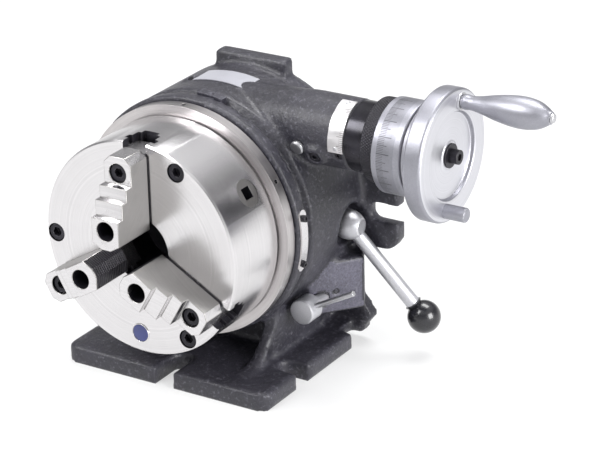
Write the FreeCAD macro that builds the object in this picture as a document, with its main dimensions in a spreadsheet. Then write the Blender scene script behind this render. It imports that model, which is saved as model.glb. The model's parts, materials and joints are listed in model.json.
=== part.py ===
import FreeCAD, Part
import math
import os

import Sketcher

# Dividing head with a three jaw scroll chuck, horizontal and vertical mounting, worm drive with a
# drop-out eccentric sleeve. Millimetres, +Z up. The origin is on the base face, under the point where
# the spindle axis (along Y, chuck towards -Y) passes the middle plane of the worm wheel.

V = FreeCAD.Vector

# Every size that can be set by itself, written once: name, value, what it is.
SIZES = [
    ("axis_high", 146.5, "spindle axis above the base face"),
    ("front_reach", 54, "housing front face before the worm wheel plane"),
    ("back_reach", 70, "vertical mounting face behind the worm wheel plane"),
    ("run_clear", 0.03, "radial running clearance of shafts in bushes and bores"),
    ("slide_clear", 0.1, "side clearance of sliding pieces"),
    ("chuck_rad", 100, "chuck outer radius"),
    ("chuck_deep", 69, "chuck body depth"),
    ("chuck_bore", 31, "radius of the hole through the chuck"),
    ("chuck_cham", 1.5, "chamfer on the chuck rims"),
    ("seat_gap", 2, "groove between chuck and spindle ring"),
    ("register_rad", 55, "radius of the spigot that centres the chuck"),
    ("register_len", 4, "length of the chuck spigot"),
    ("seat_rad", 97, "radius of the chuck seat on the spindle"),
    ("ring_rad", 109, "radius of the spindle ring"),
    ("ring_thick", 11, "thickness of the spindle ring"),
    ("ring_gap", 2, "gap between spindle ring and housing"),
    ("thrust_rad", 75, "radius of the thrust face behind the ring"),
    ("spindle_bore", 20, "radius of the hole through the spindle"),
    ("front_journal", 50, "front journal radius"),
    ("rear_journal", 35, "rear journal radius"),
    ("bush_wall", 6, "wall of the front bush"),
    ("rear_bush_wall", 5, "wall of the rear bush"),
    ("wheel_seat", 45, "radius of the worm wheel seat"),
    ("nut_thread", 42, "thread radius of the wheel nut"),
    ("nut_rim", 13, "radial width of the wheel nut"),
    ("nut_thick", 10, "thickness of the wheel nut"),
    ("brake_land", 40, "radius of the land that the brake shoe presses"),
    ("tail_thread", 33, "thread radius of the rear nut"),
    ("tail_rim", 13, "radial width of the rear nut"),
    ("tail_thick", 8, "thickness of the rear nut"),
    ("tail_in", 2, "rear cover and spindle end inside the mounting face"),
    ("key_wide", 10, "spindle key width"),
    ("key_high", 8, "spindle key height"),
    ("key_len", 16, "spindle key length"),
    ("worm_module", 1.6, "axial module of the worm"),
    ("wheel_teeth", 90, "teeth of the worm wheel"),
    ("worm_pitch_rad", 12, "pitch radius of the worm"),
    ("wheel_wide", 20, "face width of the worm wheel"),
    ("flank_play", 0.3, "play on each worm wheel flank"),
    ("worm_half", 18, "half length of the worm thread"),
    ("worm_shaft_rad", 9, "worm shaft journal radius"),
    ("worm_collar", 13.8, "radius of the worm thrust collar"),
    ("collar_len", 5, "length of the worm thrust collar"),
    ("collar_gap", 6.5, "gap between the worm thread and the thrust collar"),
    ("bush_gap", 8, "gap between the worm thread and the inner bush"),
    ("eccentric", 5, "worm axis offset in the drop-out sleeve"),
    ("sleeve_rad", 23, "sleeve outer radius"),
    ("sleeve_bore", 14.6, "sleeve bore radius"),
    ("sleeve_start", -38, "inner end of the sleeve"),
    ("drop_angle", 65, "turn of the sleeve that lifts the worm clear"),
    ("tube_rad", 32.5, "worm housing tube radius"),
    ("tube_end", 143, "outer end face of the worm tube"),
    ("tube_root", 95, "where the worm tube reaches its full radius"),
    ("tube_inner", 25.5, "radius of the worm tube inside the drum"),
    ("neck_rad", 32, "radius of the sleeve flange"),
    ("neck_len", 17.7, "length of the sleeve flange"),
    ("knurl_rad", 38.5, "radius of the knurled ring"),
    ("knurl_seat", 28, "radius of the seat of the knurled ring"),
    ("knurl_wide", 15, "width of the knurled ring"),
    ("dial_rad", 42.7, "dial outer radius"),
    ("dial_wide", 28.7, "dial length"),
    ("dial_wall", 6.7, "dial rim wall"),
    ("dial_web", 13, "dial web thickness"),
    ("dial_seat", 16, "radius of the hub that carries the dial"),
    ("dial_gap", 1.3, "gap between knurled ring and dial"),
    ("wheel_gap", 0.3, "gap between dial and handwheel"),
    ("boss_rad", 41.5, "radius of the handwheel boss behind the rim"),
    ("boss_len", 11.7, "length of that boss"),
    ("rim_rad", 59.5, "handwheel radius"),
    ("rim_wide", 17, "handwheel rim width"),
    ("rim_round", 1.5, "chamfer of the handwheel rim"),
    ("dish_rad", 39, "radius of the recess in the handwheel"),
    ("dish_deep", 4, "depth of the recess in the handwheel"),
    ("wheel_shaft_rad", 8, "worm shaft radius in the handwheel"),
    ("crank_rad", 48, "handle axis from the handwheel axis"),
    ("crank_angle", 74, "handle position on the handwheel"),
    ("axle_rad", 4, "handle axle radius"),
    ("grip_len", 84, "handle grip length"),
    ("grip_rad", 14, "largest radius of the grip"),
    ("stub_rad", 6.6, "radius of the stub pin"),
    ("stub_out", 21, "stub pin length outside the rim"),
    ("drum_rad", 112, "housing drum radius"),
    ("collar_rad", 112.5, "front collar radius"),
    ("collar_wide", 14, "front collar width"),
    ("groove_wide", 9, "stop groove width"),
    ("groove_rad", 105, "stop groove floor radius"),
    ("cavity_rad", 84, "inner radius of the drum"),
    ("front_wall", 20, "thickness of the housing front wall"),
    ("hub_end", 12, "inner hub ends before the wheel plane by this"),
    ("hub_wall", 12, "wall of the inner hub"),
    ("cover_rad", 96, "rear cover radius"),
    ("cover_thick", 14, "rear cover thickness"),
    ("cover_hub", 50, "rear cover hub radius"),
    ("cover_hub_len", 8, "rear cover hub length"),
    ("cover_screw_circle", 90, "circle radius of the cover screws"),
    ("base_half", 109.5, "half width of the base"),
    ("base_front", 111, "base front edge before the wheel plane"),
    ("base_rear", 40, "base sole rear edge behind the wheel plane"),
    ("base_step_half", 98, "half width of the step between base and rear plate"),
    ("base_thick", 17, "base plate thickness"),
    ("base_corner", 12, "base corner radius"),
    ("edge_round", 3.5, "rounding of the cast edges"),
    ("slot_wide", 20, "bolt slot width in the base"),
    ("front_slot_deep", 38, "depth of the front bolt slot"),
    ("side_slot_deep", 26, "depth of the side bolt slots"),
    ("side_slot_back", 47.5, "side slots before the wheel plane"),
    ("spot_rad", 19, "radius of the bolt head clearance at the slots"),
    ("sole_pocket_half", 58, "outer side of the pockets under the base"),
    ("sole_pocket_high", 34, "height of the pockets under the base"),
    ("sole_pocket_front", 14, "pocket front before the wheel plane"),
    ("sole_pocket_deep", 52, "pocket size from front to rear"),
    ("sole_rib", 24, "rib between the two pockets under the base"),
    ("plate_thick", 14, "thickness of the rear mounting plate"),
    ("ear_tip", 149, "ear tips from the middle plane"),
    ("ear_high", 135, "ear slot height above the base face"),
    ("ear_half", 36, "half height of the ears"),
    ("ear_corner", 17, "ear corner radius"),
    ("ear_slot", 18, "bolt slot width in the ears"),
    ("ear_slot_deep", 31, "depth of the ear slots"),
    ("plate_low", 9, "lower edge of the rear plate above the base face"),
    ("lug_half", 38, "half width of the top lug"),
    ("lug_front", 10, "lug front part before the mounting face"),
    ("lug_taper", 7, "lug narrower on each side at the mounting face"),
    ("drum_taper", 6, "drum smaller in radius at the mounting face"),
    ("lug_high", 121.2, "top of the lug above the spindle axis"),
    ("web_half", 77, "half width of the pedestal"),
    ("web_front", 20, "pedestal front before the wheel plane"),
    ("rib_thick", 14, "thickness of the pedestal ribs"),
    ("block_side", 121, "outer side of the clamp block"),
    ("block_low", 44, "underside of the clamp block"),
    ("block_top", 96, "top of the clamp block"),
    ("block_front", 2, "front of the clamp block before the wheel plane"),
    ("clamp_back", 38, "clamp lever axis behind the wheel plane"),
    ("clamp_drop", 20.5, "clamp lever axis below the spindle axis"),
    ("clamp_floor", 97, "floor of the clamp recess"),
    ("clamp_spot", 20, "radius of the clamp recess"),
    ("bolt_rad", 6, "clamp bolt radius"),
    ("shoe_rad", 7, "brake shoe radius"),
    ("shoe_len", 22, "brake shoe length at its axis"),
    ("lever_hub_rad", 14, "lever hub radius"),
    ("lever_hub_len", 23.5, "lever hub length"),
    ("arm_rad", 6.3, "lever arm radius"),
    ("arm_len", 111.8, "lever arm length to the knob centre"),
    ("arm_lean", 55.8, "angle between arm and hub axis"),
    ("arm_swing", 16.4, "arm swung back from straight down"),
    ("knob_rad", 15.5, "ball knob radius"),
    ("brake_side", 93.5, "clamp screw from the middle plane"),
    ("brake_high", 59.5, "clamp screw above the base face"),
    ("brake_knob_rad", 12, "clamp screw head radius"),
    ("brake_knob_len", 18, "clamp screw head length"),
    ("brake_neck", 4, "clamp screw neck length"),
    ("brake_shank", 22, "clamp screw length in the block"),
    ("bar_rad", 2.5, "tommy bar radius"),
    ("bar_out", 57, "tommy bar reach from the screw axis"),
    ("bar_angle", 28, "tommy bar angle above level"),
    ("scroll_pitch", 10, "scroll pitch"),
    ("scroll_zero", 36, "radius of the scroll ridge at angle zero"),
    ("ridge_wide", 4.4, "scroll ridge width"),
    ("ridge_high", 4.7, "scroll ridge height"),
    ("scroll_hub", 35, "radius of the chuck hub that carries the scroll"),
    ("scroll_fit", 0.2, "radial clearance of the scroll on its hub"),
    ("scroll_rad", 82, "scroll radius"),
    ("scroll_room", 82.5, "radius of the scroll room"),
    ("jaw_floor", 23, "depth of the jaw slots"),
    ("scroll_front", 28, "scroll disc front below the chuck face"),
    ("ring_gear_teeth", 96, "bevel teeth of the scroll"),
    ("pinion_teeth", 12, "bevel teeth of a pinion"),
    ("pinion_deep", 46, "pinion axis below the chuck face"),
    ("pinion_head", 13, "pinion journal radius"),
    ("pinion_angle", 32, "direction of the first pinion"),
    ("gear_in", 68, "inner end of the bevel teeth"),
    ("gear_out", 80, "outer end of the bevel teeth"),
    ("key_socket", 11, "square socket width of the pinions"),
    ("socket_deep", 14, "square socket depth"),
    ("back_plate_thick", 14, "chuck back plate thickness"),
    ("jaw_angle", 90, "direction of the first jaw"),
    ("slot_neck", 24, "jaw slot width"),
    ("slot_tee", 32, "width of the jaw guide grooves"),
    ("tee_top", 8, "guide groove below the chuck face"),
    ("tee_deep", 7, "height of the guide groove"),
    ("tooth_wide", 14, "width of the jaw teeth"),
    ("tooth_thick", 3.6, "thickness of the jaw teeth"),
    ("master_in", 24, "inner end of the master jaws"),
    ("master_out", 92, "outer end of the master jaws"),
    ("master_up", 2, "master jaws above the chuck face"),
    ("jaw_wide", 28, "top jaw width"),
    ("jaw_tip", 16.5, "gripping face from the spindle axis"),
    ("tip_half", 4.5, "half width of the gripping face"),
    ("jaw_end", 95, "outer end of the top jaws"),
    ("jaw_end_cut", 6, "corner cut at the outer end of the top jaws"),
    ("step_one", 26, "height of the outer jaw step"),
    ("step_two", 34, "height of the second jaw step"),
    ("step_three", 41, "height of the third jaw step"),
    ("step_four", 48, "height of the gripping end"),
    ("riser_one", 70, "radius of the outer jaw riser"),
    ("riser_two", 59, "radius of the second jaw riser"),
    ("riser_three", 45, "radius of the inner jaw riser"),
    ("screw_rad", 5, "radius of the chuck and jaw screws"),
    ("head_rad", 8, "radius of their heads"),
    ("head_high", 10, "height of their heads"),
    ("head_clear", 0.8, "radial clearance of the counterbores"),
    ("shank_clear", 0.5, "radial clearance of the screw holes"),
    ("bore_deep", 11, "counterbore depth in the chuck face"),
    ("chuck_screw_circle", 90, "circle radius of the chuck screws"),
    ("chuck_screw_angle", 62, "direction of the first chuck screw"),
    ("jaw_screw_out", 80, "radius of the outer jaw screws"),
    ("jaw_screw_in", 34, "radius of the inner jaw screws"),
    ("jaw_seat", 14, "seat of the jaw screw heads above the chuck face"),
]

doc = FreeCAD.newDocument("dividing_head")
sheet = doc.addObject("Spreadsheet::Sheet", "dims")
for row, (alias, number, note) in enumerate(SIZES, start=1):
    sheet.set(f"A{row}", str(number))
    sheet.setAlias(f"A{row}", alias)
    sheet.set(f"B{row}", note)
doc.recompute()


class Size:
    """A number together with the formula over the sheet that gives it."""

    def __init__(self, value, text):
        self.value = float(value)
        self.text = text

    def __add__(self, other):
        other = size(other)
        return Size(self.value + other.value, f"({self.text} + {other.text})")

    def __radd__(self, other):
        return size(other) + self

    def __sub__(self, other):
        other = size(other)
        return Size(self.value - other.value, f"({self.text} - {other.text})")

    def __rsub__(self, other):
        return size(other) - self

    def __mul__(self, other):
        other = size(other)
        return Size(self.value * other.value, f"({self.text} * {other.text})")

    def __rmul__(self, other):
        return size(other) * self

    def __truediv__(self, other):
        other = size(other)
        return Size(self.value / other.value, f"({self.text} / {other.text})")

    def __neg__(self):
        return Size(-self.value, f"(0 - {self.text})")


def size(thing):
    return thing if isinstance(thing, Size) else Size(thing, f"({float(thing):.6f})")


def cosd(angle):
    angle = size(angle)
    return Size(math.cos(math.radians(angle.value)), f"cos({angle.text})")


def sind(angle):
    angle = size(angle)
    return Size(math.sin(math.radians(angle.value)), f"sin({angle.text})")


class Sheet:
    """Named access to the sheet: d.name is the cell with its value."""

    def __getattr__(self, alias):
        return Size(sheet.get(alias), f"dims.{alias}")


d = Sheet()
made = []


def fresh(kind, name):
    thing = doc.addObject(kind, name)
    thing.Label = name
    return thing


def bind(thing, prop, amount):
    thing.setExpression(prop, size(amount).text)


TURNS = {
    "X": FreeCAD.Rotation(V(0, 1, 0), 90),
    "-X": FreeCAD.Rotation(V(0, 1, 0), -90),
    "Y": FreeCAD.Rotation(V(1, 0, 0), -90),
    "-Y": FreeCAD.Rotation(V(1, 0, 0), 90),
    "Z": FreeCAD.Rotation(),
}


def put(thing, at, turn=None):
    """Place an object: base by formulas, direction by a rotation."""
    thing.Placement = FreeCAD.Placement(V(*[size(c).value for c in at]), turn or FreeCAD.Rotation())
    for letter, amount in zip("xyz", at):
        bind(thing, f"Placement.Base.{letter}", amount)
    return thing


def rod(name, radius, length, at, along="Z", turn=None):
    """Cylinder from a point along a direction."""
    thing = fresh("Part::Cylinder", name)
    bind(thing, "Radius", radius)
    bind(thing, "Height", length)
    return put(thing, at, turn or TURNS[along])


def block(name, sides, at, turn=None):
    thing = fresh("Part::Box", name)
    for prop, amount in zip(("Length", "Width", "Height"), sides):
        bind(thing, prop, amount)
    return put(thing, at, turn)


def join(name, pieces):
    thing = fresh("Part::MultiFuse", name)
    thing.Shapes = pieces
    return thing


def carve(name, stock, tools):
    thing = fresh("Part::Cut", name)
    thing.Base = stock
    thing.Tool = tools[0] if len(tools) == 1 else join(name + "_tools", tools)
    return thing


def meet(name, one, other):
    thing = fresh("Part::Common", name)
    thing.Base = one
    thing.Tool = other
    return thing


def sketch_on(body, role, corners):
    """Closed outline on an origin plane, each corner fixed by its two formulas."""
    outline = body.newObject("Sketcher::SketchObject", body.Name + "_outline")
    plane = [o for o in body.Origin.OriginFeatures if o.Role == role][0]
    outline.AttachmentSupport = [(plane, "")]
    outline.MapMode = "FlatFace"
    spots = [(size(a), size(b)) for a, b in corners]
    count = len(spots)
    for i, (a, b) in enumerate(spots):
        c, e = spots[(i + 1) % count]
        outline.addGeometry(Part.LineSegment(V(a.value, b.value, 0), V(c.value, e.value, 0)))
    for i in range(count):
        outline.addConstraint(Sketcher.Constraint("Coincident", i, 2, (i + 1) % count, 1))
    for i, pair in enumerate(spots):
        for kind, axis, amount in (("DistanceX", -2, pair[0]), ("DistanceY", -1, pair[1])):
            if abs(amount.value) < 1e-9:
                outline.addConstraint(Sketcher.Constraint("PointOnObject", i, 1, axis))
            else:
                k = outline.addConstraint(Sketcher.Constraint(kind, -1, 1, i, 1, amount.value))
                outline.setExpression(f"Constraints[{k}]", amount.text)
    return outline


def soften(body, stock, radius, picks, step="PartDesign::Fillet"):
    """Round or chamfer the edges of a body that the test picks."""
    doc.recompute()
    names = [f"Edge{i}" for i, e in enumerate(stock.Shape.Edges, start=1) if picks(e)]
    round_off = body.newObject(step, body.Name + "_soft")
    round_off.Base = (stock, names)
    bind(round_off, "Radius" if step.endswith("Fillet") else "Size", radius)
    return round_off


UP_FROM_Y = FreeCAD.Rotation(V(1, 0, 0), 90)
UP_FROM_X = FreeCAD.Rotation(V(1, 1, 1), 120)


def slab(name, corners, depth, at, turn=None):
    """Outline in the local XY plane padded along local Z."""
    body = fresh("PartDesign::Body", name)
    outline = sketch_on(body, "XY_Plane", corners)
    pad = body.newObject("PartDesign::Pad", name + "_pad")
    pad.Profile = outline
    bind(pad, "Length", depth)
    put(body, at, turn)
    return body, pad


LATHE = {
    "X": FreeCAD.Rotation(),
    "Y": FreeCAD.Rotation(V(0, 0, 1), 90),
    "-Y": FreeCAD.Rotation(V(0, 0, 1), -90),
}


def turned(name, stations, at, along="Y", turn=None):
    """Solid of revolution: stations are (distance along the axis, radius)."""
    body = fresh("PartDesign::Body", name)
    outline = sketch_on(body, "XY_Plane", stations)
    spin = body.newObject("PartDesign::Revolution", name + "_spin")
    spin.Profile = outline
    spin.ReferenceAxis = (outline, ["H_Axis"])
    spin.Angle = 360
    put(body, at, turn or LATHE[along])
    return body


def around(angle):
    """Rotation about the spindle axis, counter-clockwise seen from the chuck."""
    return FreeCAD.Rotation(V(0, -1, 0), size(angle).value)


def spoke(angle):
    """Local X outward along an angle round the spindle, local Z out of the chuck face."""
    a = math.radians(size(angle).value)
    c, s = math.cos(a), math.sin(a)
    return FreeCAD.Rotation(FreeCAD.Matrix(c, -s, 0, 0, 0, 0, -1, 0, s, c, 0, 0, 0, 0, 0, 1))


def off_spindle(radius, angle, along):
    return (radius * cosd(angle), along, d.axis_high + radius * sind(angle))


def piece(node, thing):
    """Name a finished sub-part: its label is its node and its file."""
    if thing.Label != node:
        thing.Label = node
    made.append((node, thing))
    return thing


def shaped(node, shape):
    """Sub-part whose faces are computed from the sheet's sizes."""
    thing = doc.addObject("Part::Feature", node)
    thing.Label = node
    thing.Shape = shape
    return piece(node, thing)


# Places that several pieces share.
HOUSE_FRONT = -d.front_reach
RING_BACK = HOUSE_FRONT - d.ring_gap
RING_FRONT = RING_BACK - d.ring_thick
CHUCK_BACK = RING_FRONT - d.seat_gap
CHUCK_FACE = CHUCK_BACK - d.chuck_deep
HOUSE_BACK = d.back_reach
COVER_SEAT = HOUSE_BACK - d.tail_in - d.cover_thick
COVER_BACK = HOUSE_BACK - d.tail_in
TAIL_SEAT = COVER_BACK - d.tail_thick
WHEEL_HALF = d.wheel_wide / 2
WHEEL_PITCH = d.worm_module * d.wheel_teeth / 2
WORM_HIGH = d.axis_high + WHEEL_PITCH + d.worm_pitch_rad
SLEEVE_BACK = d.eccentric
NECK_START = d.tube_end + 0.3
NECK_END = NECK_START + d.neck_len
KNURL_START = NECK_END + 1
KNURL_END = KNURL_START + d.knurl_wide
DIAL_START = KNURL_END + d.dial_gap
DIAL_END = DIAL_START + d.dial_wide
BOSS_START = DIAL_END + d.wheel_gap
RIM_START = BOSS_START + d.boss_len
RIM_END = RIM_START + d.rim_wide
DISH = RIM_END - d.dish_deep
COLLAR_BACK = HOUSE_FRONT + d.collar_wide
DRUM_FRONT = COLLAR_BACK + d.groove_wide
CAVITY_FRONT = HOUSE_FRONT + d.front_wall
FRONT_BUSH_RAD = d.front_journal + d.bush_wall
REAR_BUSH_RAD = d.rear_journal + d.rear_bush_wall
CLAMP_HIGH = d.axis_high - d.clamp_drop
COVER_HUB_START = COVER_SEAT - d.cover_hub_len


def ring_nut(node, bore, rim, thick, start):
    """Round nut with four spanner notches."""
    stations = [(start, bore), (start, bore + rim), (start + thick, bore + rim), (start + thick, bore)]
    blank = turned(node + "_blank", stations, (0, 0, d.axis_high))
    notches = []
    for k in range(4):
        at = off_spindle(bore + rim - 3, 45 + 90 * k, start - 1)
        notch = block(f"{node}_notch_{k + 1}", (8, thick + 2, 8), at, around(45 + 90 * k))
        notches.append(notch)
    return piece(node, carve(node, blank, notches))


# Spindle: spigot for the chuck, thrust face, two journals, wheel seat and threads. The index ring is
# shrunk on its front and carries the chuck's screws.
spindle_blank = turned("spindle_blank", [
    (CHUCK_BACK - d.register_len, d.spindle_bore), (CHUCK_BACK - d.register_len, d.register_rad),
    (CHUCK_BACK, d.register_rad), (CHUCK_BACK, d.thrust_rad),
    (HOUSE_FRONT, d.thrust_rad), (HOUSE_FRONT, d.front_journal),
    (-WHEEL_HALF, d.front_journal), (-WHEEL_HALF, d.wheel_seat),
    (WHEEL_HALF, d.wheel_seat), (WHEEL_HALF, d.nut_thread),
    (WHEEL_HALF + d.nut_thick + 2, d.nut_thread), (WHEEL_HALF + d.nut_thick + 2, d.brake_land),
    (COVER_HUB_START, d.brake_land), (COVER_HUB_START, d.rear_journal),
    (TAIL_SEAT, d.rear_journal), (TAIL_SEAT, d.tail_thread),
    (COVER_BACK, d.tail_thread), (COVER_BACK, d.spindle_bore),
], (0, 0, d.axis_high))

SCREW_ANGLES = [d.chuck_screw_angle + 120 * k for k in range(3)]
CHUCK_SCREW_TIP = RING_BACK - 1
HEAD_SEAT = CHUCK_FACE + d.bore_deep
key_at = (-d.key_wide / 2, -d.key_len / 2, d.axis_high + d.wheel_seat - d.key_high / 2)
ring_cuts = []
for k, angle in enumerate(SCREW_ANGLES, start=1):
    at = off_spindle(d.chuck_screw_circle, angle, CHUCK_BACK - 1)
    ring_cuts.append(rod(f"ring_tapping_{k}", d.screw_rad, CHUCK_SCREW_TIP - CHUCK_BACK + 1, at, "Y"))
for k in range(2):
    at = off_spindle(d.ring_rad - 8, 30 + 60 * k, (RING_FRONT + RING_BACK) / 2)
    ring_cuts.append(rod(f"ring_spanner_hole_{k + 1}", 1.8, 10, at, turn=around(30 + 60 * k)
                         * FreeCAD.Rotation(V(0, 1, 0), 90)))
ring_blank = turned("index_ring_blank", [
    (CHUCK_BACK, d.thrust_rad), (CHUCK_BACK, d.seat_rad), (RING_FRONT, d.seat_rad), (RING_FRONT, d.ring_rad),
    (RING_BACK, d.ring_rad), (RING_BACK, d.thrust_rad),
], (0, 0, d.axis_high))
piece("index_ring", carve("index_ring", ring_blank, ring_cuts))
key_seat = block("spindle_key_seat", (d.key_wide, d.key_len, d.key_high), key_at)
piece("spindle", carve("spindle", spindle_blank, [key_seat]))
piece("spindle_key", block("spindle_key", (d.key_wide, d.key_len, d.key_high), key_at))


# Worm wheel: 90 straight-sided teeth that lean by the worm's lead angle.
def polygon_wire(points):
    return Part.makePolygon(points + points[:1])


def wheel_outline(along, twist):
    """Tooth outline of the worm wheel at one end plane, turned by the lead."""
    count = int(d.wheel_teeth.value)
    pitch = WHEEL_PITCH.value
    module = d.worm_module.value
    quarter = math.pi / 2 / count - d.flank_play.value / pitch
    slope = math.tan(math.radians(20))
    corners = []
    for i in range(count):
        middle = 2 * math.pi * (i + 0.5) / count + twist + math.pi / 2
        for radius, side in ((pitch - 1.25 * module, -1), (pitch + module, -1),
                             (pitch + module, 1), (pitch - 1.25 * module, 1)):
            half = quarter - (radius - pitch) * slope / pitch
            if radius < pitch:
                half = min(half, math.pi / count * 0.86)
            a = middle + side * half
            corners.append(V(radius * math.cos(a), along, radius * math.sin(a)))
    return polygon_wire(corners)


WORM_LEAD = math.atan(d.worm_module.value / 2 / d.worm_pitch_rad.value)


def wheel_solid():
    half = WHEEL_HALF.value
    twist = half * math.tan(WORM_LEAD) / WHEEL_PITCH.value
    ends = [wheel_outline(-half, -twist), wheel_outline(half, twist)]
    body = Part.makeLoft(ends, True, True)
    bore = Part.makeCylinder(d.wheel_seat.value, 2 * half + 2, V(0, -half - 1, 0), V(0, 1, 0))
    keyway = Part.makeBox(d.key_wide.value, 2 * half + 2, d.key_high.value,
                          V(-d.key_wide.value / 2, -half - 1, d.wheel_seat.value - d.key_high.value / 2))
    body = body.cut(bore.fuse(keyway))
    return body


worm_wheel = shaped("worm_wheel", wheel_solid())
put(worm_wheel, (0, 0, d.axis_high))
ring_nut("wheel_nut", d.nut_thread, d.nut_rim, d.nut_thick, WHEEL_HALF)
ring_nut("rear_nut", d.tail_thread, d.tail_rim, d.tail_thick, TAIL_SEAT)


# Scroll: spiral ridge in front, bevel teeth behind on a cone whose tip is on the pinion axis plane.
def spiral_edge(shift, first, last, along):
    count = int((last - first) / 15) + 1
    points = []
    for i in range(count + 1):
        angle = first + (last - first) * i / count
        radius = d.scroll_zero.value + d.scroll_pitch.value * angle / 360 + shift
        a = math.radians(angle)
        points.append(V(radius * math.cos(a), along, radius * math.sin(a)))
    curve = Part.BSplineCurve()
    curve.interpolate(points)
    return curve.toShape(), points[0], points[-1]


def spiral_solid(front, back):
    pitch, zero, half = d.scroll_pitch.value, d.scroll_zero.value, d.ridge_wide.value / 2
    first = (d.scroll_hub.value + 1 + half - zero) * 360 / pitch
    last = (d.scroll_rad.value - half - 0.5 - zero) * 360 / pitch
    inner, in_a, in_b = spiral_edge(-half, first, last, back)
    outer, out_a, out_b = spiral_edge(half, first, last, back)
    wire = Part.Wire([inner, Part.makeLine(in_b, out_b), outer, Part.makeLine(out_a, in_a)])
    return Part.Face(wire).extrude(V(0, front - back, 0))


BEVEL_ADD = 0.78
BEVEL_ROOT = 1.08
BEVEL_PLAY = 0.15


def flat_sided(first, second):
    """Solid between two similar polygon wires, whose side faces are flat."""
    low, high = ([v.Point for v in wire.OrderedVertexes] for wire in (first, second))
    faces = [Part.Face(first), Part.Face(second)]
    for i in range(len(low)):
        j = (i + 1) % len(low)
        faces.append(Part.Face(polygon_wire([low[i], low[j], high[j], high[i]])))
    solid = Part.makeSolid(Part.makeShell(faces))
    return solid if solid.Volume > 0 else solid.reversed()


def cone_depth(radius, share):
    """Depth below the chuck face of the bevel cone at a radius; share counts modules."""
    teeth = d.ring_gear_teeth.value
    return (d.pinion_deep.value - radius * d.pinion_teeth.value / teeth + share * 2 * radius / teeth)


def scroll_gap(radius, angle):
    """Four corners of one tooth gap of the scroll at a radius."""
    teeth = d.ring_gear_teeth.value
    module = 2 * radius / teeth
    quarter = math.pi / 2 / teeth
    play = BEVEL_PLAY * module / radius
    corners = []
    for share, side in ((BEVEL_ADD + 0.3, -1), (-BEVEL_ROOT, -1), (-BEVEL_ROOT, 1), (BEVEL_ADD + 0.3, 1)):
        half = quarter + play + share * module * math.tan(math.radians(20)) / radius
        a = angle + side * half
        corners.append(V(radius * math.cos(a), CHUCK_FACE.value + cone_depth(radius, share),
                         radius * math.sin(a)))
    return polygon_wire(corners)


def scroll_solid():
    face = CHUCK_FACE.value
    front = face + d.scroll_front.value
    hub, rim = (d.scroll_hub + d.scroll_fit).value, d.scroll_rad.value
    gear_in, gear_out = d.gear_in.value, d.gear_out.value
    corners = [
        V(hub, front, 0), V(rim, front, 0), V(rim, face + cone_depth(rim, BEVEL_ADD), 0),
        V(gear_in - 2, face + cone_depth(gear_in - 2, BEVEL_ADD), 0),
        V(gear_in - 4, face + cone_depth(gear_in - 2, -BEVEL_ROOT), 0),
        V(hub, face + cone_depth(gear_in - 2, -BEVEL_ROOT), 0),
    ]
    disc = Part.Face(polygon_wire(corners)).revolve(V(0, 0, 0), V(0, 1, 0), 360)
    spiral = spiral_solid(face + d.scroll_front.value - d.ridge_high.value, front + 0.5)
    teeth = int(d.ring_gear_teeth.value)
    start = math.radians(d.pinion_angle.value)
    gaps = []
    for i in range(teeth):
        angle = start + 2 * math.pi * i / teeth
        gaps.append(flat_sided(scroll_gap(gear_in - 6, angle), scroll_gap(rim + 3, angle)))
    return disc.fuse(spiral).cut(Part.makeCompound(gaps))


scroll = shaped("scroll", scroll_solid())
put(scroll, (0, 0, d.axis_high))


# Pinions: square socket, journal with a retaining groove, bevel teeth, inner pivot.
def pinion_outline(radius):
    """Tooth outline of a pinion at a distance from the chuck axis; local X points outward."""
    teeth = int(d.pinion_teeth.value)
    module = 2 * radius / d.ring_gear_teeth.value
    pitch = module * teeth / 2
    base = pitch * math.cos(math.radians(20))
    rise = math.tan(math.radians(20)) - math.radians(20)
    root = pitch - BEVEL_ROOT * module
    tip = pitch + BEVEL_ADD * module
    quarter = math.pi / 2 / teeth - BEVEL_PLAY * module / pitch
    flank = []
    for r in (root, max(base, root), (pitch + max(base, root)) / 2, pitch + 0.45 * BEVEL_ADD * module, tip):
        roll = math.acos(min(1, base / max(r, base)))
        flank.append((r, quarter + rise - (math.tan(roll) - roll)))
    flank[0] = (root, flank[1][1] * 0.98)
    corners = []
    for i in range(teeth):
        middle = 2 * math.pi * i / teeth + math.pi / 2
        for r, half in flank:
            corners.append((r, middle - half))
        for r, half in reversed(flank):
            corners.append((r, middle + half))
    return polygon_wire([V(radius, r * math.cos(a), r * math.sin(a)) for r, a in corners])


PINION_ANGLES = [d.pinion_angle + 120 * k for k in range(3)]
PINION_END = d.chuck_rad - 0.7


def pinion_solid():
    head, room = d.pinion_head.value, d.scroll_room.value
    gear = flat_sided(pinion_outline(d.gear_in.value), pinion_outline(d.gear_out.value))
    journal = Part.makeCylinder(head, PINION_END.value - room - 0.5, V(room + 0.5, 0, 0), V(1, 0, 0))
    neck = Part.makeCylinder(8, room + 0.5 - d.gear_out.value, V(d.gear_out.value, 0, 0), V(1, 0, 0))
    pivot = Part.makeCylinder(5, 6, V(d.gear_in.value - 6, 0, 0), V(1, 0, 0))
    groove = Part.makeCylinder(head + 1, 6.4, V(88.8, 0, 0), V(1, 0, 0)).cut(
        Part.makeCylinder(head - 3, 6.4, V(88.8, 0, 0), V(1, 0, 0)))
    half = d.key_socket.value / 2
    socket = Part.makeBox(d.socket_deep.value + 1, 2 * half, 2 * half,
                          V(PINION_END.value - d.socket_deep.value, -half, -half))
    return Part.Solid(gear.fuse([journal, neck, pivot]).cut(groove).cut(socket).Solids[0])


for k, angle in enumerate(PINION_ANGLES, start=1):
    pinion = shaped(f"pinion_{k}", pinion_solid())
    put(pinion, (0, CHUCK_FACE + d.pinion_deep, d.axis_high), spoke(angle))

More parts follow.
